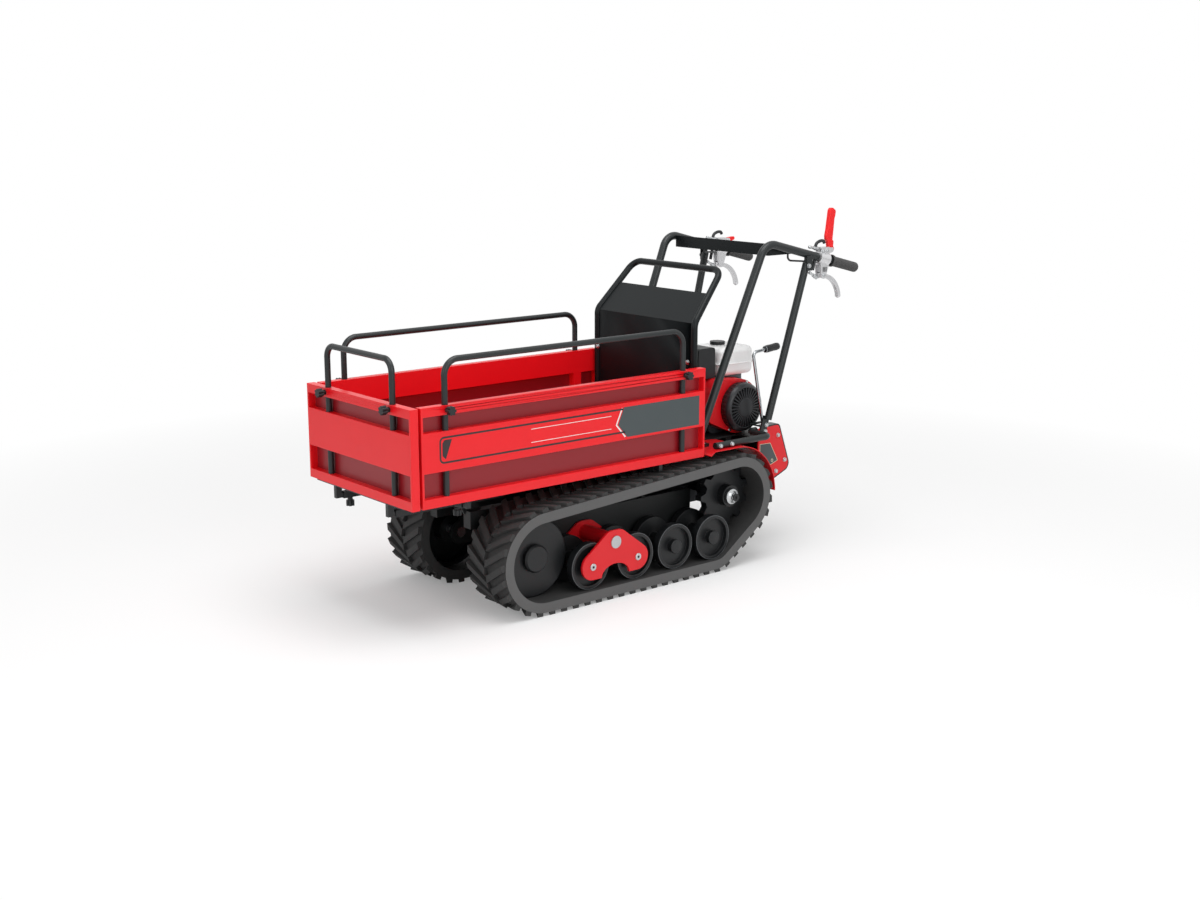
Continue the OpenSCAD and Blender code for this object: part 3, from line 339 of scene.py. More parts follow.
# Sand-cast aluminium with a fine pebbled skin
CAST_ALUMINIUM = Finish(
    "cast_aluminium", "#9A9C9E", "#7E8082", 0.4, 0.1, Texture.CAST,
    patch_mm=30, grain_mm=2.5, relief=0.16, metallic=1.0,
)
# Grey die-cast crankcase and gearbox, matt and a little oily
ENGINE_CAST = Finish(
    "die_cast_crankcase", "#63666A", "#4B4E52", 0.52, 0.1, Texture.CAST,
    patch_mm=40, grain_mm=3, relief=0.16, metallic=0.7,
)
# Chromed rod
CHROME = Finish(
    "chrome_plate", "#B9BCBF", "#A9ADB0", 0.2, 0.03, patch_mm=40, grain_mm=3, relief=0.02, metallic=1.0
)
# Blow-moulded pale polyethylene
TANK_PLASTIC = Finish(
    "moulded_pale_polyethylene", "#F8F8F8", "#F0F0F0", 0.42, 0.05, Texture.MOULDED,
    patch_mm=60, grain_mm=4, relief=0.06,
)
# Injection-moulded black nylon
BLACK_NYLON = Finish(
    "moulded_black_nylon", "#232527", "#1C1E20", 0.42, 0.08, Texture.MOULDED,
    patch_mm=40, grain_mm=2, relief=0.12,
)
# Glossier black plastic of the starter cover
GLOSS_BLACK = Finish(
    "moulded_gloss_black", "#2A2C2F", "#232528", 0.32, 0.05, Texture.MOULDED,
    patch_mm=40, grain_mm=3, relief=0.06,
)
# Near-black disc at the foot of the slots: painted shade, in the same plastic made matt
SHADE_BLACK = Finish(
    "moulded_matt_black", "#0B0C0D", "#070808", 0.7, 0.05, Texture.MOULDED,
    patch_mm=30, grain_mm=3, relief=0.1,
)
# Injection-moulded bright red plastic
RED_PLASTIC = replace(GLOSS_BLACK, name="moulded_red_plastic", colour="#FA1C1F", shade="#EC181B")
# Heat-darkened steel of the muffler
HOT_STEEL = Finish(
    "heat_darkened_steel", "#6E6A66", "#57534F", 0.5, 0.1, Texture.CAST,
    patch_mm=50, grain_mm=3, relief=0.12, metallic=0.8,
)
# Printed vinyl film: dark grey, and its black, cream and white lines
FILM_GREY = Finish(
    "printed_grey_film", "#474F51", "#424A4C", 0.4, 0.04, Texture.PRINTED,
    patch_mm=80, grain_mm=6, relief=0.03,
)
FILM_BLACK = replace(FILM_GREY, name="printed_black_film", colour="#33292B", shade="#2D2426")
FILM_CREAM = replace(FILM_GREY, name="printed_cream_film", colour="#D9D2B4", shade="#CFC8AA")
FILM_WHITE = replace(FILM_GREY, name="printed_white_film", colour="#EFEFEC", shade="#E6E6E3")


def at(origin: Point, axis: Point) -> Matrix:
    """Matrix that puts local Z along an axis at a place in millimetres.

    Args:
        origin: Place in millimetres.
        axis: Direction of local Z.

    Returns:
        The matrix, in metres.
    """
    turn = Vector(axis).normalized().to_track_quat("Z", "Y").to_matrix().to_4x4()
    return Matrix.Translation(Vector(origin) * MM) @ turn


def upright(y: float) -> Matrix:
    """Matrix that stands local X and Y along X and Z of the part, with local Z to the right.

    Args:
        y: Y of the local origin in millimetres.

    Returns:
        The matrix, in metres.
    """
    return Matrix.Translation((0, y * MM, 0)) @ Matrix.Rotation(math.radians(90), 4, "X")


def span(node: str) -> tuple[Vector, Vector]:
    """Middle and half size of a CAD node's box at rest.

    Args:
        node: Name of the node.

    Returns:
        Two vectors in millimetres.
    """
    low, high = (Vector(corner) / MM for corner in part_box(node))
    return (low + high) / 2, (high - low) / 2


def ease(shape: bpy.types.Object, bevel_mm: float) -> None:
    """Rounds the sharp edges of a piece and smooths the rest.

    Args:
        shape: The piece.
        bevel_mm: Width of the eased edges, or 0 for smooth shading alone.
    """
    weld = shape.modifiers.new("weld", "WELD")
    weld.merge_threshold = WELD
    if bevel_mm > 0:
        bevel = shape.modifiers.new("ease", "BEVEL")
        bevel.width = bevel_mm * MM
        bevel.segments = EASE_STEPS
        bevel.limit_method = "ANGLE"
        bevel.angle_limit = math.radians(SHARP)
    normals = shape.modifiers.new("normals", "WEIGHTED_NORMAL")
    normals.keep_sharp = True
    shape.data.polygons.foreach_set("use_smooth", [True] * len(shape.data.polygons))
    shape.data.update()


def dress(names: Iterable[str], finish: Finish, bevel_mm: float = 0.0) -> None:
    """Gives CAD nodes a finish and eased edges.

    Args:
        names: Names of the nodes.
        finish: Their finish.
        bevel_mm: Width of the eased edges, or 0 for none.
    """
    for name in names:
        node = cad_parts[name]
        node.data.materials.clear()
        node.data.materials.append(finish.build())
        if bevel_mm > 0:
            ease(node, bevel_mm)
        log.info("%s dressed in %s", name, finish.name)


@dataclass
class Form:
    """A mesh that is being built, in metres and in the part's frame.

    Attributes:
        mesh: Blender's editable mesh.
    """

    mesh: Mesh = field(default_factory=bmesh.new)

    def lathe(self, profile: Sequence[Point], place: Matrix, steps: int = 48) -> Self:
        """Turns a profile about local Z into a closed ring of faces.

        Args:
            profile: Radius and height of each point in millimetres, from axis to axis or as a loop.
            place: Where the local frame stands.
            steps: Faces round the turn.

        Returns:
            The form.
        """
        rings = []
        for radius, height in profile:
            r, z = radius * MM, height * MM
            turns = [2 * math.pi * i / steps for i in range(steps)] if radius > POLE else [0.0]
            ring = [Vector((r * math.cos(a), r * math.sin(a), z)) for a in turns]
            rings.append([self.mesh.verts.new(place @ spot) for spot in ring])
        closed = len(rings[0]) > 1 and len(rings[-1]) > 1
        pairs = list(zip(rings, rings[1:])) + ([(rings[-1], rings[0])] if closed else [])
        for low, high in pairs:
            for i in range(steps):
                j = (i + 1) % steps
                quad = [low[i % len(low)], low[j % len(low)], high[j % len(high)], high[i % len(high)]]
                unique = list(dict.fromkeys(quad))
                if len(unique) > 2:
                    self.mesh.faces.new(unique)
        return self

    def prism(self, outline: Sequence[Point], depth: float, place: Matrix) -> Self:
        """Extrudes an outline along local Z.

        Args:
            outline: Corners in local X and Y, in millimetres.
            depth: Height along local Z, in millimetres.
            place: Where the local frame stands.

        Returns:
            The form.
        """
        ends = [[Vector((x * MM, y * MM, z * MM)) for x, y in outline] for z in (0, depth)]
        low, high = ([self.mesh.verts.new(place @ spot) for spot in end] for end in ends)
        self.mesh.faces.new(list(reversed(low)))
        self.mesh.faces.new(high)
        for i in range(len(outline)):
            j = (i + 1) % len(outline)
            self.mesh.faces.new([low[i], low[j], high[j], high[i]])
        return self

    def block(self, low: Point, high: Point, place: Matrix, ease_mm: float, steps: int) -> Self:
        """Adds a box with rounded edges.

        Args:
            low: Lowest corner in millimetres.
            high: Highest corner in millimetres.
            place: Where the local frame stands.
            ease_mm: Radius of its edges.
            steps: Steps across an edge.

        Returns:
            The form.
        """
        mid = (Vector(low) + Vector(high)) * 0.5 * MM
        size = (Vector(high) - Vector(low)) * MM
        grow = place @ Matrix.Translation(mid) @ Matrix.Diagonal((*size, 1.0))
        made = bmesh.ops.create_cube(self.mesh, size=1.0, matrix=grow)
        edges = list(dict.fromkeys(e for v in made["verts"] for e in v.link_edges))
        offset = ease_mm * MM
        bmesh.ops.bevel(self.mesh, geom=edges, offset=offset, segments=steps, profile=0.5, affect="EDGES")
        return self

    def tube(self, points: Sequence[Point], radius: float) -> Self:
        """Adds a round cable along a smooth curve.

        Args:
            points: Points of the route in millimetres.
            radius: Radius in millimetres.

        Returns:
            The form.
        """
        steps, fine = 12, 10
        route = [Vector(p) for p in points]
        ends = [2 * route[0] - route[1]] + route + [2 * route[-1] - route[-2]]
        path: list[Vector] = []
        for a, b, c, d in zip(ends, ends[1:], ends[2:], ends[3:]):
            bend, twist = 2 * a - 5 * b + 4 * c - d, 3 * b - a - 3 * c + d
            for t in (k / fine for k in range(fine)):
                path.append(0.5 * (2 * b + (c - a) * t + bend * t * t + twist * t**3))
        path.append(route[-1])
        turns = [2 * math.pi * k / steps for k in range(steps)]
        # Any direction that no route starts along
        side = Vector((0.3, 0.9, 0.2))
        rings = []
        for i, p in enumerate(path):
            way = (path[min(i + 1, len(path) - 1)] - path[max(i - 1, 0)]).normalized()
            side = (side - way * side.dot(way)).normalized()
            other = way.cross(side)
            ring = [p + radius * (side * math.cos(a) + other * math.sin(a)) for a in turns]
            rings.append([self.mesh.verts.new(spot * MM) for spot in ring])
        for low, high in zip(rings, rings[1:]):
            for k in range(steps):
                j = (k + 1) % steps
                self.mesh.faces.new([low[k], low[j], high[j], high[k]])
        self.mesh.faces.new(list(reversed(rings[0])))
        self.mesh.faces.new(rings[-1])
        return self

    def strip(
        self, outline: Sequence[Point], width: float, depth: float, place: Matrix, closed: bool = False
    ) -> Self:
        """Adds a line of film along an outline, as one strip with mitred corners.

        Args:
            outline: Corners, in millimetres.
            width: Width of the line.
            depth: Thickness of the film, signed.
            place: Where the local frame stands.
            closed: Whether the last corner joins the first.

        Returns:
            The form.
        """
        least_turn = 0.3
        n = len(outline)
        spots = [Vector(q) for q in outline]
        left, right = [], []
        for i, q in enumerate(spots):
            before = q - spots[i - 1] if closed or i > 0 else spots[i + 1] - q
            after = spots[(i + 1) % n] - q if closed or i < n - 1 else before
            way = (before.normalized() + after.normalized()).normalized()
            off = Vector((-way.y, way.x)) * width / 2 / max(way.dot(after.normalized()), least_turn)
            left.append(q + off)
            right.append(q - off)
        for i in range(n if closed else n - 1):
            j = (i + 1) % n
            self.prism([right[i], right[j], left[j], left[i]], depth, place)
        return self

    def piece(
        self, name: str, finish: Finish, body: str | None, slot: str, bevel_mm: float = 0.0
    ) -> bpy.types.Object:
        """Turns the form into a finished piece, and frees its mesh.

        Args:
            name: Name of the piece.
            finish: Its finish.
            body: CAD body that carries it, or None for a copy of CAD faces that isn't carried here.
            slot: The record's material slot; not used.
            bevel_mm: Width of the eased edges, or 0.

        Returns:
            The new object.
        """
        if body:
            bmesh.ops.recalc_face_normals(self.mesh, faces=self.mesh.faces)
        data = bpy.data.meshes.new(name)
        self.mesh.to_mesh(data)
        self.mesh.free()
        data.materials.append(finish.build())
        made = bpy.data.objects.new(name, data)
        bpy.context.scene.collection.objects.link(made)
        ease(made, bevel_mm)
        if body:
            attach(made, body)
        log.info("%s made in %s", name, finish.name)
        return made


@dataclass(frozen=True)
class Bolt:
    """Hexagon bolt head on its washer.

    Attributes:
        flats: Size across flats in millimetres.
        head: Height of the head.
        washer: Radius of the washer.
        washer_t: Thickness of the washer.
    """

    flats: float = 13.0
    head: float = 5.5
    washer: float = 8.5
    washer_t: float = 1.6

    def row(self, name: str, body: str, spots: Iterable[tuple[Point, Point]]) -> None:
        """Adds bolts that ride on one body, as one piece.

        Args:
            name: Name of the piece.
            body: Body that carries them.
            spots: Place of each washer's underside, in millimetres, and direction of its head.
        """
        r, t, top = self.washer, self.washer_t, self.washer_t + self.head
        washer = [(0, 0), (r, 0), (r, t * 0.7), (r - 0.5, t), (0, t)]
        corner, crown, shoulder = self.flats / math.sqrt(3), self.flats * 0.46, t + self.head * 0.8
        head = [(0, t), (corner, t), (corner, shoulder), (crown, top), (0, top)]
        form = Form()
        for spot, axis in spots:
            place = at(spot, axis)
            form.lathe(washer, place, 32).lathe(head, place, 6)
        form.piece(name, ZINC, body, "bare_steel", 0.3)


M6 = Bolt(10.0, 4.0, 6.2, 1.2)
M8 = Bolt()
M10 = Bolt(16.0, 6.4, 10.5, 2.0)


@dataclass
class LoadBox:
    """Tipping box: corrugated panels, rails, headboard, knobs and plain printed film.

    Attributes:
        half_width: Half the outer width of the box.
        film_t: Thickness of the film.
        frame_x: Ends of the outlined field on a side.
        frame_z: Lower and upper edge of the outlined field.
        frame_r: Radius of its front corners.
        end_x: Point and rear edge of the grey field.
        end_z: Lower and upper edge of the grey field.
        line: Width of a printed line.
    """

    half_width: float = 315.0
    film_t: float = 0.35
    frame_x: Pair = (150.0, 904.0)
    frame_z: Pair = (572.0, 652.0)
    frame_r: float = 14.0
    end_x: Pair = (180.0, -196.0)
    end_z: Pair = (553.0, 658.0)
    line: float = 6.0

    def build(self) -> None:
        """Dresses the CAD nodes and adds the film and the bolts."""
        dress(["panel_left", "panel_right"], RED_SIDES, 1.2)
        dress(["panel_front"], RED_FRONT, 1.2)
        dress(["bed_frame"], RED_FLOOR, 1.2)
        dress(["rail_left", "rail_right", "rail_front"], BLACK_POWDER)
        dress(["headboard"], BLACK_ENAMEL, 1.0)
        knobs = [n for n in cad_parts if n.startswith(("clamp_knob", "lock_knob"))]
        dress(knobs, BLACK_NYLON, 1.6)
        for side in Side:
            self.film(side)
        face_x, heights = -198, ((200, 470), (250, 768))
        spots = [((face_x, side.value * y, z), (1, 0, 0)) for side in Side for y, z in heights]
        M8.row("headboard_bolts", "bed", spots)

    def film(self, side: Side) -> None:
        """Adds the plain printed fields on the band of a side panel.

        Args:
            side: The side.
        """
        place = upright(side.value * self.half_width)
        depth = -self.film_t * side.value
        panel = f"panel_{side}"
        (x0, x1), (z0, z1), r = self.frame_x, self.frame_z, self.frame_r
        round_front = [
            (x1 - r + r * math.cos(a), z + r * math.sin(a))
            for z, start in ((z0 + r, -90), (z1 - r, 0))
            for a in (math.radians(start + 15 * k) for k in range(7))
        ]
        lines = Form()
        lines.strip([(x0, z0), *round_front, (x0 + 8, z1)], self.line, depth, place)
        side_x, top_z = x1 - 8, z1 - 8
        badge = [(side_x, z0 + 22), (side_x, z1 - 18), (x1 - 16, top_z), (x1 - 44, top_z), (x1 - 20, z0 + 10)]
        lines.prism(badge, depth, place)
        lines.piece(f"film_lines_{side}", FILM_BLACK, panel, "black_plastic")
        (front, rear), (b0, b1) = self.end_x, self.end_z
        tip_z = b0 + 47
        field_end = [(rear, b0), (front - 40, b0), (front, tip_z), (front - 26, b1), (rear, b1)]
        Form().prism(field_end, depth, place).piece(f"film_end_{side}", FILM_GREY, panel, "slate_paint")
        edge = Form()
        edge.strip([(front - 32, b0 + 2), (front + 8, tip_z), (front - 18, b1 - 2)], 5.0, depth, place)
        for z in (z0 + 18, z1 - 18):
            edge.strip([(x0 + 60, z), (x0 + 400, z)], 1.8, depth, place)
        edge.piece(f"film_edge_{side}", FILM_WHITE, panel, "white_plastic")


@dataclass
class Undercarriage:
    """Rubber tracks, wheels, rockers, chassis and mudguards.

    Attributes:
        rollers: Number of rollers on a side.
        on_rocker: How many of them the rocker carries.
        cap_r: Radius of the caps on the other rollers.
        hub_r: Radius of the bright disc on a sprocket.
        nut_r: Radius of its castellated nut.
        run_x: Ends of the part of the lower run under a rocker.
        run_z: Height under which the belt is its lower run.
        run_steps: Steps along that part.
    """

    rollers: int = 4
    on_rocker: int = 2
    cap_r: float = 25.5
    hub_r: float = 28.6
    nut_r: float = 17.8
    run_x: Pair = (-100.0, 520.0)
    run_z: float = 70.0
    run_steps: int = 20

    def build(self) -> None:
        """Dresses the CAD nodes and adds rings, caps, nuts and bolts."""
        dress(["chassis_frame"], CHASSIS_POWDER, 1.5)
        dress(["axle_pins"], TURNED_STEEL, 0.8)
        dress(["mudguards"], RED_PLATE, 0.9)
        dress(["guard_bars"], BLACK_POWDER)
        for side in Side:
            dress([f"sprocket_{side}", f"idler_{side}"], WHEEL_IRON, 1.5)
            dress([f"rocker_{side}"], RED_PLATE, 1.5)
            self.belt(side)
            for i in range(1, self.rollers + 1):
                self.roller(side, i)
            self.pin_caps(side)
            self.hub_nut(side)
        face_y, z = 319.5, span("guard_bars")[0].z
        spots = [((x, side.value * face_y, z), side.out) for side in Side for x in (-300, -357)]
        M8.row("guard_bolts", "chassis", spots)

    def belt(self, side: Side) -> None:
        """Cuts a track's rubber into its loop and two lower runs under the rocker's rollers.

        Args:
            side: The side.
        """
        rear, front = self.run_x
        middle = (rear + front) / 2
        loop = self.belt_part(f"belt_loop_{side}", side, rear, front, False)
        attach(loop, "chassis")
        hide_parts(f"track_belt_{side}")
        run = self.belt_part(f"belt_rear_run_{side}", side, rear, middle)
        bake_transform(run)
        run = self.belt_part(f"belt_front_run_{side}", side, middle, front)
        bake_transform(run)

    def belt_part(
        self, name: str, side: Side, rear: float, front: float, run: bool = True
    ) -> bpy.types.Object:
        """Copies one part of a track's rubber.

        Args:
            name: Name of the piece.
            side: The side.
            rear: X of the part's rear end.
            front: X of its front end.
            run: Whether the part is the lower run between the ends, or else all the rest.

        Returns:
            The piece, which isn't carried yet.
        """
        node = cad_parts[f"track_belt_{side}"]
        mesh = bmesh.new()
        mesh.from_mesh(node.data)
        mesh.transform(node.matrix_world)
        bmesh.ops.remove_doubles(mesh, verts=mesh.verts, dist=WELD)
        steps = self.run_steps if run else 1
        for k in range(steps + 1):
            spot = Vector((rear + (front - rear) * k / steps, 0, 0)) * MM
            every = [*mesh.verts, *mesh.edges, *mesh.faces]
            bmesh.ops.bisect_plane(mesh, geom=every, plane_co=spot, plane_no=(1, 0, 0))
        spare = []
        for face in mesh.faces:
            c = face.calc_center_median() / MM
            if (c.z < self.run_z and rear < c.x < front) is not run:
                spare.append(face)
        bmesh.ops.delete(mesh, geom=spare, context="FACES")
        return Form(mesh).piece(name, TRACK_RUBBER, None, "track_rubber", 2.4)

    def roller(self, side: Side, index: int) -> None:
        """Dresses a roller and adds the grey ring of painted highlight at its rim and the cap on its hub.

        Args:
            side: The side.
            index: Number of the roller.
        """
        name = f"roller_{side}_{index}"
        dress([name], WHEEL_IRON, 1.2)
        middle, half = span(name)
        face, cap_r = abs(middle.y) + half.y, self.cap_r
        outer, inner = half.z - 1.0, half.z - 2.6
        ring = [(inner, 0), (outer, 0), (outer, 1.5), (outer - 0.3, 1.8), (inner + 0.3, 1.8), (inner, 1.5)]
        place = at((middle.x, side.value * (face - 1.4), middle.z), side.out)
        Form().lathe(ring, place, 96).piece(f"rim_ring_{side}_{index}", RIM_HIGHLIGHT, name, "dark_castings")
        if index > self.on_rocker:
            cap = [(0, 0), (cap_r, 0), (cap_r, 7), (cap_r - 2, 9), (0, 9)]
            place = at((middle.x, side.value * (face - 1.0), middle.z), side.out)
            Form().lathe(cap, place).piece(f"hub_cap_{side}_{index}", WHEEL_IRON, name, "dark_castings")

    def pin_caps(self, side: Side) -> None:
        """Adds the bright heads of the rocker's two roller pins, each with a dark disc as painted shade of
        its socket.

        Args:
            side: The side.
        """
        rocker = f"rocker_{side}"
        middle, half = span(rocker)
        face = abs(middle.y) + half.y
        washer = [(10.1, 0), (12.6, 0), (12.6, 2.8), (11.4, 3.8)]
        head = [(5.6, 3.8), (4.6, 3.2), (0, 3.2), (0, 2.9), (10.1, 2.9)]
        # The dark disc in each head is painted shade of the socket
        socket = [(0, 0), (4.4, 0), (4.4, 0.6), (0, 0.6)]
        caps, sockets = Form(), Form()
        for i in range(1, self.on_rocker + 1):
            spot, _ = span(f"roller_{side}_{i}")
            caps.lathe(washer + head, at((spot.x, side.value * (face - 3.0), spot.z), side.out))
            sockets.lathe(socket, at((spot.x, side.value * (face + 0.5), spot.z), side.out), 24)
        caps.piece(f"pin_caps_{side}", ZINC, rocker, "bare_steel")
        sockets.piece(f"pin_sockets_{side}", WHEEL_IRON, rocker, "dark_castings")

    def hub_nut(self, side: Side) -> None:
        """Adds the bright disc and castellated nut at the end of a half shaft.

        Args:
            side: The side.
        """
        middle, half = span(f"sprocket_{side}")
        inset, lugs = 31, 6
        place = at((middle.x, side.value * (abs(middle.y) + half.y - inset), middle.z), side.out)
        form = Form()
        r, n = self.hub_r, self.nut_r
        form.lathe([(0, 0.4), (r, 0.4), (r, 10.5), (r - 1, 11.5), (n, 11.5), (n, 21), (0, 21)], place, 64)
        for k in range(lugs):
            turn = place @ Matrix.Rotation(2 * math.pi * k / lugs, 4, "Z")
            form.block((8.5, -5.5, 20.5), (n - 0.3, 5.5, 27.5), turn, 0.8, 2)
        form.lathe([(0, 20), (7.5, 20), (7.5, 30.5), (6.5, 31), (0, 31)], place, 24)
        form.piece(f"hub_nut_{side}", ZINC, f"sprocket_{side}", "bare_steel")


@dataclass
class PowerUnit:
    """Engine, tank, covers and gear lever behind the box.

    Attributes:
        slots: Number of slots in the face of the starter's cover.
        slot_r: Inner radius of the slots.
        slot_d: Depth of the slots.
        casing_y: Y of the casing plate's outer face.
    """

    slots: int = 32
    slot_r: float = 37.0
    slot_d: float = 12.0
    casing_y: float = 235.0

    def build(self) -> None:
        """Dresses the CAD nodes and adds the detailed pieces."""
        dress(["casing_plates"], RED_PLATE, 1.0)
        dress(["rear_covers"], BLACK_POWDER, 0.8)
        dress(["gearbox", "engine_block"], ENGINE_CAST, 1.5)
        dress(["fan_shroud"], RED_PLATE, 7.0)
        dress(["air_cleaner"], BLACK_NYLON, 6.0)
        dress(["muffler"], HOT_STEEL, 3.0)
        dress(["drive_belt"], GRIP_RUBBER, 1.0)
        dress(["engine_pulley", "gearbox_pulley"], TURNED_STEEL, 0.6)
        dress(["fuel_cap"], BLACK_NYLON, 2.5)
        dress(["gear_lever"], CHROME)
        self.starter_cover()
        self.crankcase()
        self.tank()
        self.lever_grip()
        self.casing_fittings()

    def starter_cover(self) -> None:
        """Adds the slotted cover of the recoil starter in place of its plain solid."""
        middle, half = span("recoil_cover")
        back = middle - Vector((0, half.y, 0))
        top, r = 2 * half.y, half.x
        foot = top - self.slot_d
        place = at(back, (0, 1, 0))
        rim, hub = r - 18, self.slot_r
        shell = [(0, 0), (r, 0), (r, top - 15), (r - 2, top - 9), (r - 9, top - 2.5), (r - 13, top - 0.4)]
        well = [(r - 15, top), (rim + 1.5, top), (rim, top - 2), (rim, foot), (hub, foot)]
        boss = [(hub, top - 1), (hub - 3, top), (0, top)]
        form = Form().lathe(shell + well + boss, place, 96)
        for i in range(self.slots):
            turn = place @ Matrix.Rotation(2 * math.pi * i / self.slots, 4, "Z")
            form.block((hub - 1, -2.9, foot - 0.5), (rim + 1, 2.9, top - 0.4), turn, 0.5, 1)
            form.block((r - 2, -2.6, 5), (r + 1.2, 2.6, top - 19), turn, 0.8, 1)
        cover = form.piece("starter_cover", GLOSS_BLACK, "chassis", "black_plastic")
        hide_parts("recoil_cover")
        # The near-black disc at the foot of the slots is painted shade
        floor = [(hub, foot), (rim, foot), (rim, foot + 0.8), (hub, foot + 0.8)]
        Form().lathe(floor, place, 96).piece("starter_shade", SHADE_BLACK, "chassis", "black_plastic")
        ears = [Vector((math.cos(a), 0, math.sin(a))) * (r + 6) for a in (2.0, 3.9, 5.2)]
        M6.row("cover_bolts", "chassis", [(back + ear, (0, 1, 0)) for ear in ears])

    def crankcase(self) -> None:
        """Adds cast ribs, the oil filler and the drain bolt at the back of the engine."""
        form = Form()
        foot_x, foot_z, lean = -696, 456, 0.103
        for z in range(474, 606, 22):
            x = foot_x + (z - foot_z) * lean
            form.block((x - 4, -94, z - 2), (x + 12, 44, z + 2), HERE, 1.2, 2)
        form.piece("crankcase_ribs", ENGINE_CAST, "chassis", "cast_aluminium")
        plug = [(0, -8), (9, -8), (9, 4), (15, 4), (15, 12), (13.4, 14), (0, 14)]
        place = at((-697, -68, 461), (-1, 0, 0.3))
        Form().lathe(plug, place).piece("oil_filler", BLACK_NYLON, "chassis", "black_plastic")
        M10.row("drain_bolt", "chassis", [((-696, 22, 458), (-1, 0, 0))])

    def tank(self) -> None:
        """Adds the rounded fuel tank with its seam in place of its plain solid."""
        middle, half = span("fuel_tank")
        cap, _ = span("fuel_cap")
        lip, neck = 5.0, 4.0
        low = middle - half + Vector((lip, lip, 0))
        high = middle + half - Vector((lip, lip, neck))
        form = Form()
        form.block(low, high, HERE, 22, 6)
        seam = ((low.x - lip, low.y - lip, low.z + 44), (high.x + lip, high.y + lip, low.z + 50))
        form.block(*seam, HERE, 2.4, 2)
        for k in (-1, 1):
            y = middle.y + k * half.y * 0.6
            form.block((low.x + 24, y - 7, high.z - 6), (high.x - 60, y + 7, high.z + 1.5), HERE, 3, 2)
        collar = [(20.2, 0), (26, 0), (26, neck - 0.6), (25, neck), (20.2, neck)]
        form.lathe(collar, at((cap.x, cap.y, high.z), (0, 0, 1)))
        shell = form.piece("fuel_tank_shell", TANK_PLASTIC, "chassis", "white_plastic")
        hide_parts("fuel_tank")

    def lever_grip(self) -> None:
        """Adds the black grip at the end of the gear lever."""
        tip, knee, reach = Vector((-716, 186, 768)), Vector((-590, 186, 756)), 64
        way = (tip - knee).normalized()
        place = at(tip - way * reach, way)
        sleeve = [(6.2, 0), (11, 0), (13.4, 3), (14.2, 14), (13.6, 40)]
        end = [(14.4, 60), (13, 68), (9, 71.5), (0, 73)]
        form = Form().lathe(sleeve + end, place).lathe([(6.2, 0), (6.2, 1), (0, 1)], place)
        form.piece("gear_grip", BLACK_NYLON, "gear_lever", "black_plastic")

    def casing_fittings(self) -> None:
        """Adds the bolts of the casing plates and the plain inset plate on each."""
        plate_t, line_t, line_w = 0.8, 1.1, 1.8
        bolts = ((-683, 437), (-722, 336), (-676, 298))
        inset = ((-588, 413), (-642, 411), (-683, 340), (-648, 328), (-588, 342))
        eyelet = [(3.6, 0.2), (6.0, 0.2), (6.0, 1.3), (3.6, 1.3)]
        for side in Side:
            y = side.value * self.casing_y
            M8.row(f"casing_bolts_{side}", "chassis", [((x, y, z), side.out) for x, z in bolts])
            place = upright(y)
            plate = Form().prism(inset, -plate_t * side.value, place)
            plate.piece(f"casing_inset_{side}", FILM_GREY, "chassis", "slate_paint")
            line = Form()
            line.strip(inset, line_w, -line_t * side.value, place, True)
            line.lathe(eyelet, at((-654, y, 343), side.out))
            line.piece(f"casing_line_{side}", FILM_CREAM, "chassis", "white_plastic")


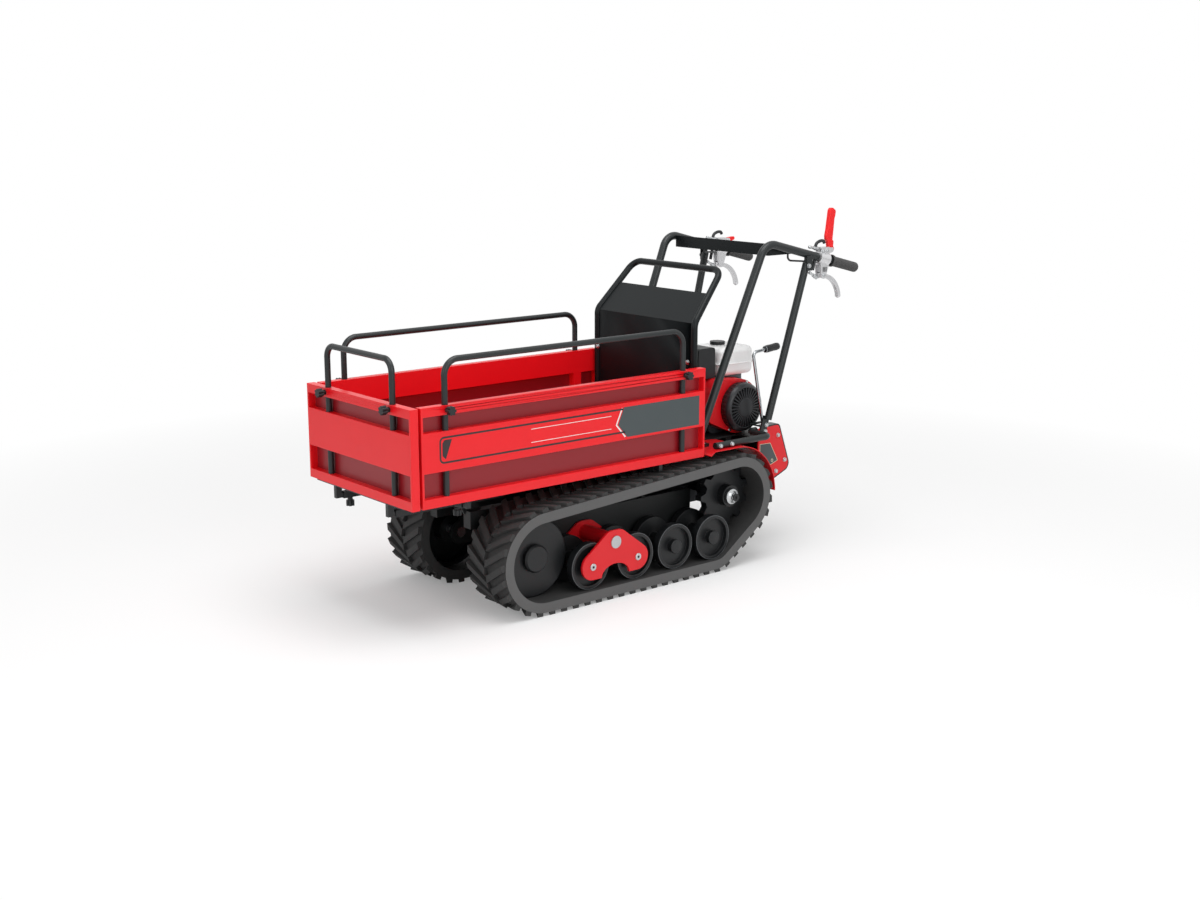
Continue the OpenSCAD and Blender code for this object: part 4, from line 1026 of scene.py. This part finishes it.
@dataclass
class Steering:
    """Handlebars with grips, perches, levers and cables.

    Attributes:
        end: End of the left bar.
        corner: Upper bend of the left bar.
        grip_l: Length of a grip.
        grip_r: Radius of a grip.
        bar_r: Radius of a bar.
        perch_at: Distance of a perch from the bar's end.
        strut_at: Distance of a strut's bracket from the bar's end.
        thumb: X and Z of the drive lever's pivot.
    """

    end: Triple = (-1033.0, 283.0, 1054.0)
    corner: Triple = (-562.0, 266.0, 1173.0)
    grip_l: float = 138.0
    grip_r: float = 19.0
    bar_r: float = 15.0
    perch_at: float = 184.0
    strut_at: float = 268.0
    thumb: Pair = (-893.5, 1129.0)

    def on_bar(self, side: Side, along: float) -> Vector:
        """Point on the rear run of a bar.

        Args:
            side: The side.
            along: Distance forward of the bar's end.

        Returns:
            The point, in millimetres.
        """
        a, b = Vector(self.end), Vector(self.corner)
        p = a + (b - a).normalized() * along
        return Vector((p.x, side.value * p.y, p.z))

    def build(self) -> None:
        """Dresses the CAD nodes and adds grips, bolts, lever ends and cables."""
        dress(["handlebars"], BLACK_POWDER)
        dress(["dash_plate"], BLACK_ENAMEL, 1.2)
        dress(["lever_perches"], CAST_ALUMINIUM, 2.2)
        dress(["clutch_lever_left", "clutch_lever_right"], CAST_ALUMINIUM, 3.2)
        dress(["drive_lever", "throttle_lever"], RED_PLASTIC, 3.0)
        dress(["control_cables"], BLACK_NYLON)
        self.paddle()
        for side in Side:
            self.grip(side)
            self.bolts(side)
            self.perch(side)
            self.lever_end(side)

    def grip(self, side: Side) -> None:
        """Adds a ribbed grip with a round end in place of its plain solid.

        Args:
            side: The side.
        """
        over, n, r = 5, 26, self.grip_r
        start, top = self.on_bar(side, -over), self.grip_l + over
        place = at(start, self.on_bar(side, 100) - start)
        outer = [(0, 0), (r * 0.55, 0.4), (r * 0.85, 2.5), (r - 0.6, 6)]
        for k in range(n):
            h = 10 + k * (top - 24) / n
            outer += [(r, h), (r, h + 2.6), (r - 0.9, h + 3.1), (r - 0.9, h + 4.0)]
        outer += [(r, top - 12), (r + 3.4, top - 9), (r + 4, top - 6), (r + 4, top - 1.5), (r + 2.6, top)]
        bore = [(self.bar_r, top), (self.bar_r, 8), (0, 8)]
        grip = Form().lathe(outer + bore, place).piece(f"grip_{side}", GRIP_RUBBER, "chassis", "grip_rubber")
        if side is Side.LEFT:
            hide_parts("grips")

    def paddle(self) -> None:
        """Adds the hand paddle and the heel of the drive lever."""
        middle, _ = span("drive_lever")
        foot = Vector(self.thumb)
        head = [(17 * math.cos(a) - 5, 142 + 11 * math.sin(a)) for a in (math.pi * k / 10 for k in range(11))]
        rim = [(27, 44), (27, 56), (18, 92), (13, 128)] + head + [(-20, 128), (-9, 92), (-2, 64), (1, 44)]
        heel = [(2, 26), (-7, 24), (-20, 4), (-18, -2), (-9, -9), (2, -9)]
        parts = (("lever_paddle", rim, 15.0, 3.5), ("lever_heel", heel, 11.0, 1.5))
        for name, outline, depth, bevel in parts:
            form = Form().prism([foot + Vector(q) for q in outline], depth, upright(middle.y + depth / 2))
            form.piece(name, RED_PLASTIC, "drive_lever", "red_plastic", bevel)

    def lever_end(self, side: Side) -> None:
        """Adds the ball at the end of a clutch lever.

        Args:
            side: The side.
        """
        lever = f"clutch_lever_{side}"
        middle, half = span(lever)
        r = 9.0
        centre = (middle.x - half.x + r - 1.5, middle.y, middle.z - half.z + 4)
        arc = [(r * math.sin(a), -r * math.cos(a)) for a in (math.pi * k / 12 for k in range(13))]
        ball = Form().lathe(arc, at(centre, (0, 0, 1)), 24)
        ball.piece(f"lever_ball_{side}", CAST_ALUMINIUM, lever, "cast_aluminium")

    def bolts(self, side: Side) -> None:
        """Adds the bolts of a bar, its strut and its perch.

        Args:
            side: The side.
        """
        c, top = self.on_bar(side, self.perch_at), self.on_bar(side, self.strut_at)
        beside = [(top.x + 5, abs(top.y) + 17.5, top.z - 43), (-608, 241, 462), (-613, 241, 486)]
        above = [(-280, 248, 461), (-280, 222, 461)]
        rows = ((beside, side.out), (above, (0, 0, 1)))
        spots = [((x, side.value * y, z), axis) for row, axis in rows for x, y, z in row]
        M8.row(f"bar_bolts_{side}", "chassis", spots)
        on_perch = ((-12, 14, 28), (10, 14, 28), (4, 15, -62))
        spots = [((c.x + x, c.y + side.value * y, c.z + z), side.out) for x, y, z in on_perch]
        M6.row(f"perch_bolts_{side}", "chassis", spots)

    def perch(self, side: Side) -> None:
        """Adds the slots as thin black plates of painted shade, the cables and adjusters of a perch, and the
        plate at the strut's top.

        Args:
            side: The side.
        """
        c, top = self.on_bar(side, self.perch_at), self.on_bar(side, self.strut_at)
        # The slots are thin black plates on the perch's face: painted shade of slots
        slots = Form()
        inner, outer = sorted(c.y + side.value * y for y in (14.6, 15.8))
        for x in (c.x - 8, c.x, c.x + 8):
            slots.block((x - 2, inner, c.z - 50), (x + 2, outer, c.z - 32), HERE, 0.3, 1)
        slots.piece(f"perch_slots_{side}", BLACK_NYLON, "chassis", "black_plastic")
        inner, outer = sorted(side.value * (abs(top.y) + y) for y in (12, 17.5))
        plate = Form().block((top.x - 16, inner, top.z - 62), (top.x + 13, outer, top.z - 6), HERE, 2.4, 3)
        plate.piece(f"strut_plate_{side}", BLACK_POWDER, "chassis", "black_paint")
        cables, cable_r = Form(), 6.0
        arc = ((40, 40), (32, 57), (12, 65), (-4, 64), (-10, 56))
        sleeve = ((41, -4), (46, -24), (50, -42))
        for path in (arc, sleeve):
            cables.tube([(c.x + x, c.y, c.z + z) for x, z in path], cable_r)
        cables.piece(f"perch_cable_{side}", BLACK_NYLON, "chassis", "black_plastic")
        ends = Form()
        boss = [(0, 0), (8, 0), (8, 14), (6.5, 14), (6.5, 23)]
        barrel = [(4.5, 23), (4.5, 37), (6, 37), (6, 46), (0, 46)]
        for x, z, aim in ((27, 37, (51, 0, 10)), (27, -71, (51, 0, 27))):
            ends.lathe(boss + barrel, at((c.x + x, c.y, c.z + z), aim), 24)
        ends.piece(f"cable_adjusters_{side}", ZINC, "chassis", "bare_steel")


@dataclass(frozen=True)
class Lamp:
    """A soft area light.

    Attributes:
        name: Name of the light.
        spot: Its place in metres.
        target: Where it points.
        size: Its width in metres.
        power: Its power in watts.
    """

    name: str
    spot: Triple
    target: Triple
    size: float
    power: float

    def build(self) -> None:
        """Makes the light and aims it."""
        data = bpy.data.lights.new(self.name, "AREA")
        data.shape = "DISK"
        data.size = self.size
        data.energy = self.power
        lamp = bpy.data.objects.new(self.name, data)
        bpy.context.scene.collection.objects.link(lamp)
        lamp.location = self.spot
        lamp.rotation_mode = "QUATERNION"
        lamp.rotation_quaternion = (Vector(self.target) - Vector(self.spot)).to_track_quat("-Z", "Y")


WHITE = linear("#FFFFFF")
# Strength of the world's light from below the horizon up
SKY = {"From Min": -0.3, "From Max": 0.9, "To Min": 0.26, "To Max": 0.62}
# Distance from the object, in metres, at which the floor turns from its shadow to plain white
FLOOR_FADE = {"From Min": 1.2, "From Max": 3.6, "To Min": 0.22, "To Max": 1.0}
FLOOR_TONE = {"To Min": 0.945, "To Max": 0.955}
FLOOR_R = 40.0


@dataclass
class Studio:
    """White floor, soft light and the photograph's camera.

    Attributes:
        eye: Place of the camera in metres.
        yaw: Bearing of the view, in degrees.
        pitch: Tilt down, in degrees.
        lens: Focal length in millimetres on a 36 mm frame.
    """

    eye: Triple = (3.5581, 4.2937, 1.6618)
    yaw: float = 50.3446
    pitch: float = 12.4126
    lens: float = 47.07

    def build(self) -> None:
        """Makes the camera, the world, the floor and the lights."""
        scene = bpy.context.scene
        scene.view_settings.view_transform = "Standard"
        self.camera(scene)
        self.world(scene)
        self.floor(scene)
        Lamp("overhead", (0.4, 0.9, 4.6), (0.0, 0.0, 0.3), 3.6, 120).build()
        Lamp("left_fill", (0.8, 5.0, 2.2), (0.0, 0.0, 0.5), 3.0, 50).build()
        Lamp("front_fill", (5.0, 0.8, 2.2), (0.0, 0.0, 0.5), 3.0, 30).build()

    def camera(self, scene: bpy.types.Scene) -> None:
        """Makes the camera at the photograph's viewpoint.

        Args:
            scene: The scene.
        """
        data = bpy.data.cameras.new("photo_camera")
        data.lens = self.lens
        data.sensor_width = 36.0
        data.dof.use_dof = False
        camera = bpy.data.objects.new("photo_camera", data)
        scene.collection.objects.link(camera)
        yaw, pitch = math.radians(self.yaw), math.radians(self.pitch)
        way = Vector((-math.cos(yaw) * math.cos(pitch), -math.sin(yaw) * math.cos(pitch), -math.sin(pitch)))
        camera.location = self.eye
        camera.rotation_mode = "QUATERNION"
        camera.rotation_quaternion = way.to_track_quat("-Z", "Y")
        scene.camera = camera

    @staticmethod
    def world(scene: bpy.types.Scene) -> None:
        """Makes a soft world that the camera sees as plain white.

        Args:
            scene: The scene.
        """
        world = bpy.data.worlds.new("studio_white")
        world.use_nodes = True
        world.node_tree.nodes.clear()
        nodes = Nodes(world.node_tree)
        path = nodes.add("LightPath")
        seen = nodes.maths("MAXIMUM", path["Is Camera Ray"], path["Is Glossy Ray"])
        height = nodes.add("SeparateXYZ", {"Vector": nodes.add("TexCoord")["Generated"]})["Z"]
        level = nodes.add("MapRange", {"Value": height, **SKY})["Result"]
        light, white = (nodes.add("Background", {"Color": WHITE, "Strength": s})[0] for s in (level, 1.0))
        nodes.add("OutputWorld", {"Surface": nodes.add("MixShader", {0: seen, 1: light, 2: white})[0]})
        scene.world = world

    @staticmethod
    def floor(scene: bpy.types.Scene) -> None:
        """Makes the pale floor, which fades to plain white away from the object.

        Args:
            scene: The scene.
        """
        mesh = bmesh.new()
        bmesh.ops.create_circle(mesh, cap_ends=True, segments=96, radius=FLOOR_R)
        data = bpy.data.meshes.new("studio_floor")
        mesh.to_mesh(data)
        mesh.free()
        made = bpy.data.materials.new("pale_floor")
        made.use_nodes = True
        nodes = Nodes(made.node_tree)
        shader = made.node_tree.nodes["Principled BSDF"]
        mottle = nodes.add("TexNoise", {"Vector": nodes.add("TexCoord")["Object"], "Scale": 3.0})["Fac"]
        tone = nodes.add("MapRange", {"Value": mottle, **FLOOR_TONE})["Result"]
        nodes.feed(shader, {"Base Color": tone, "Roughness": 0.9, "Specular IOR Level": 0.1})
        spot = nodes.add("NewGeometry")["Position"]
        reach = nodes.add("VectorMath", {0: spot}, operation="LENGTH")["Value"]
        fade = nodes.add("MapRange", {"Value": reach, **FLOOR_FADE})["Result"]
        share = nodes.maths("MULTIPLY", nodes.add("LightPath")["Is Camera Ray"], fade)
        white = nodes.add("Emission", {"Color": WHITE, "Strength": 1.0})[0]
        mix = nodes.add("MixShader", {0: share, 1: shader.outputs[0], 2: white})[0]
        nodes.feed(made.node_tree.nodes["Material Output"], {"Surface": mix})
        data.materials.append(made)
        floor = bpy.data.objects.new("studio_floor", data)
        scene.collection.objects.link(floor)


def main() -> None:
    """Builds the studio and each sub-assembly."""
    logging.basicConfig(level=logging.INFO, format="%(message)s")
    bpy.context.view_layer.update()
    for part in (Studio(), LoadBox(), Undercarriage(), PowerUnit(), Steering()):
        log.info("building %s", type(part).__name__)
        part.build()


if __name__ == "__main__":
    main()
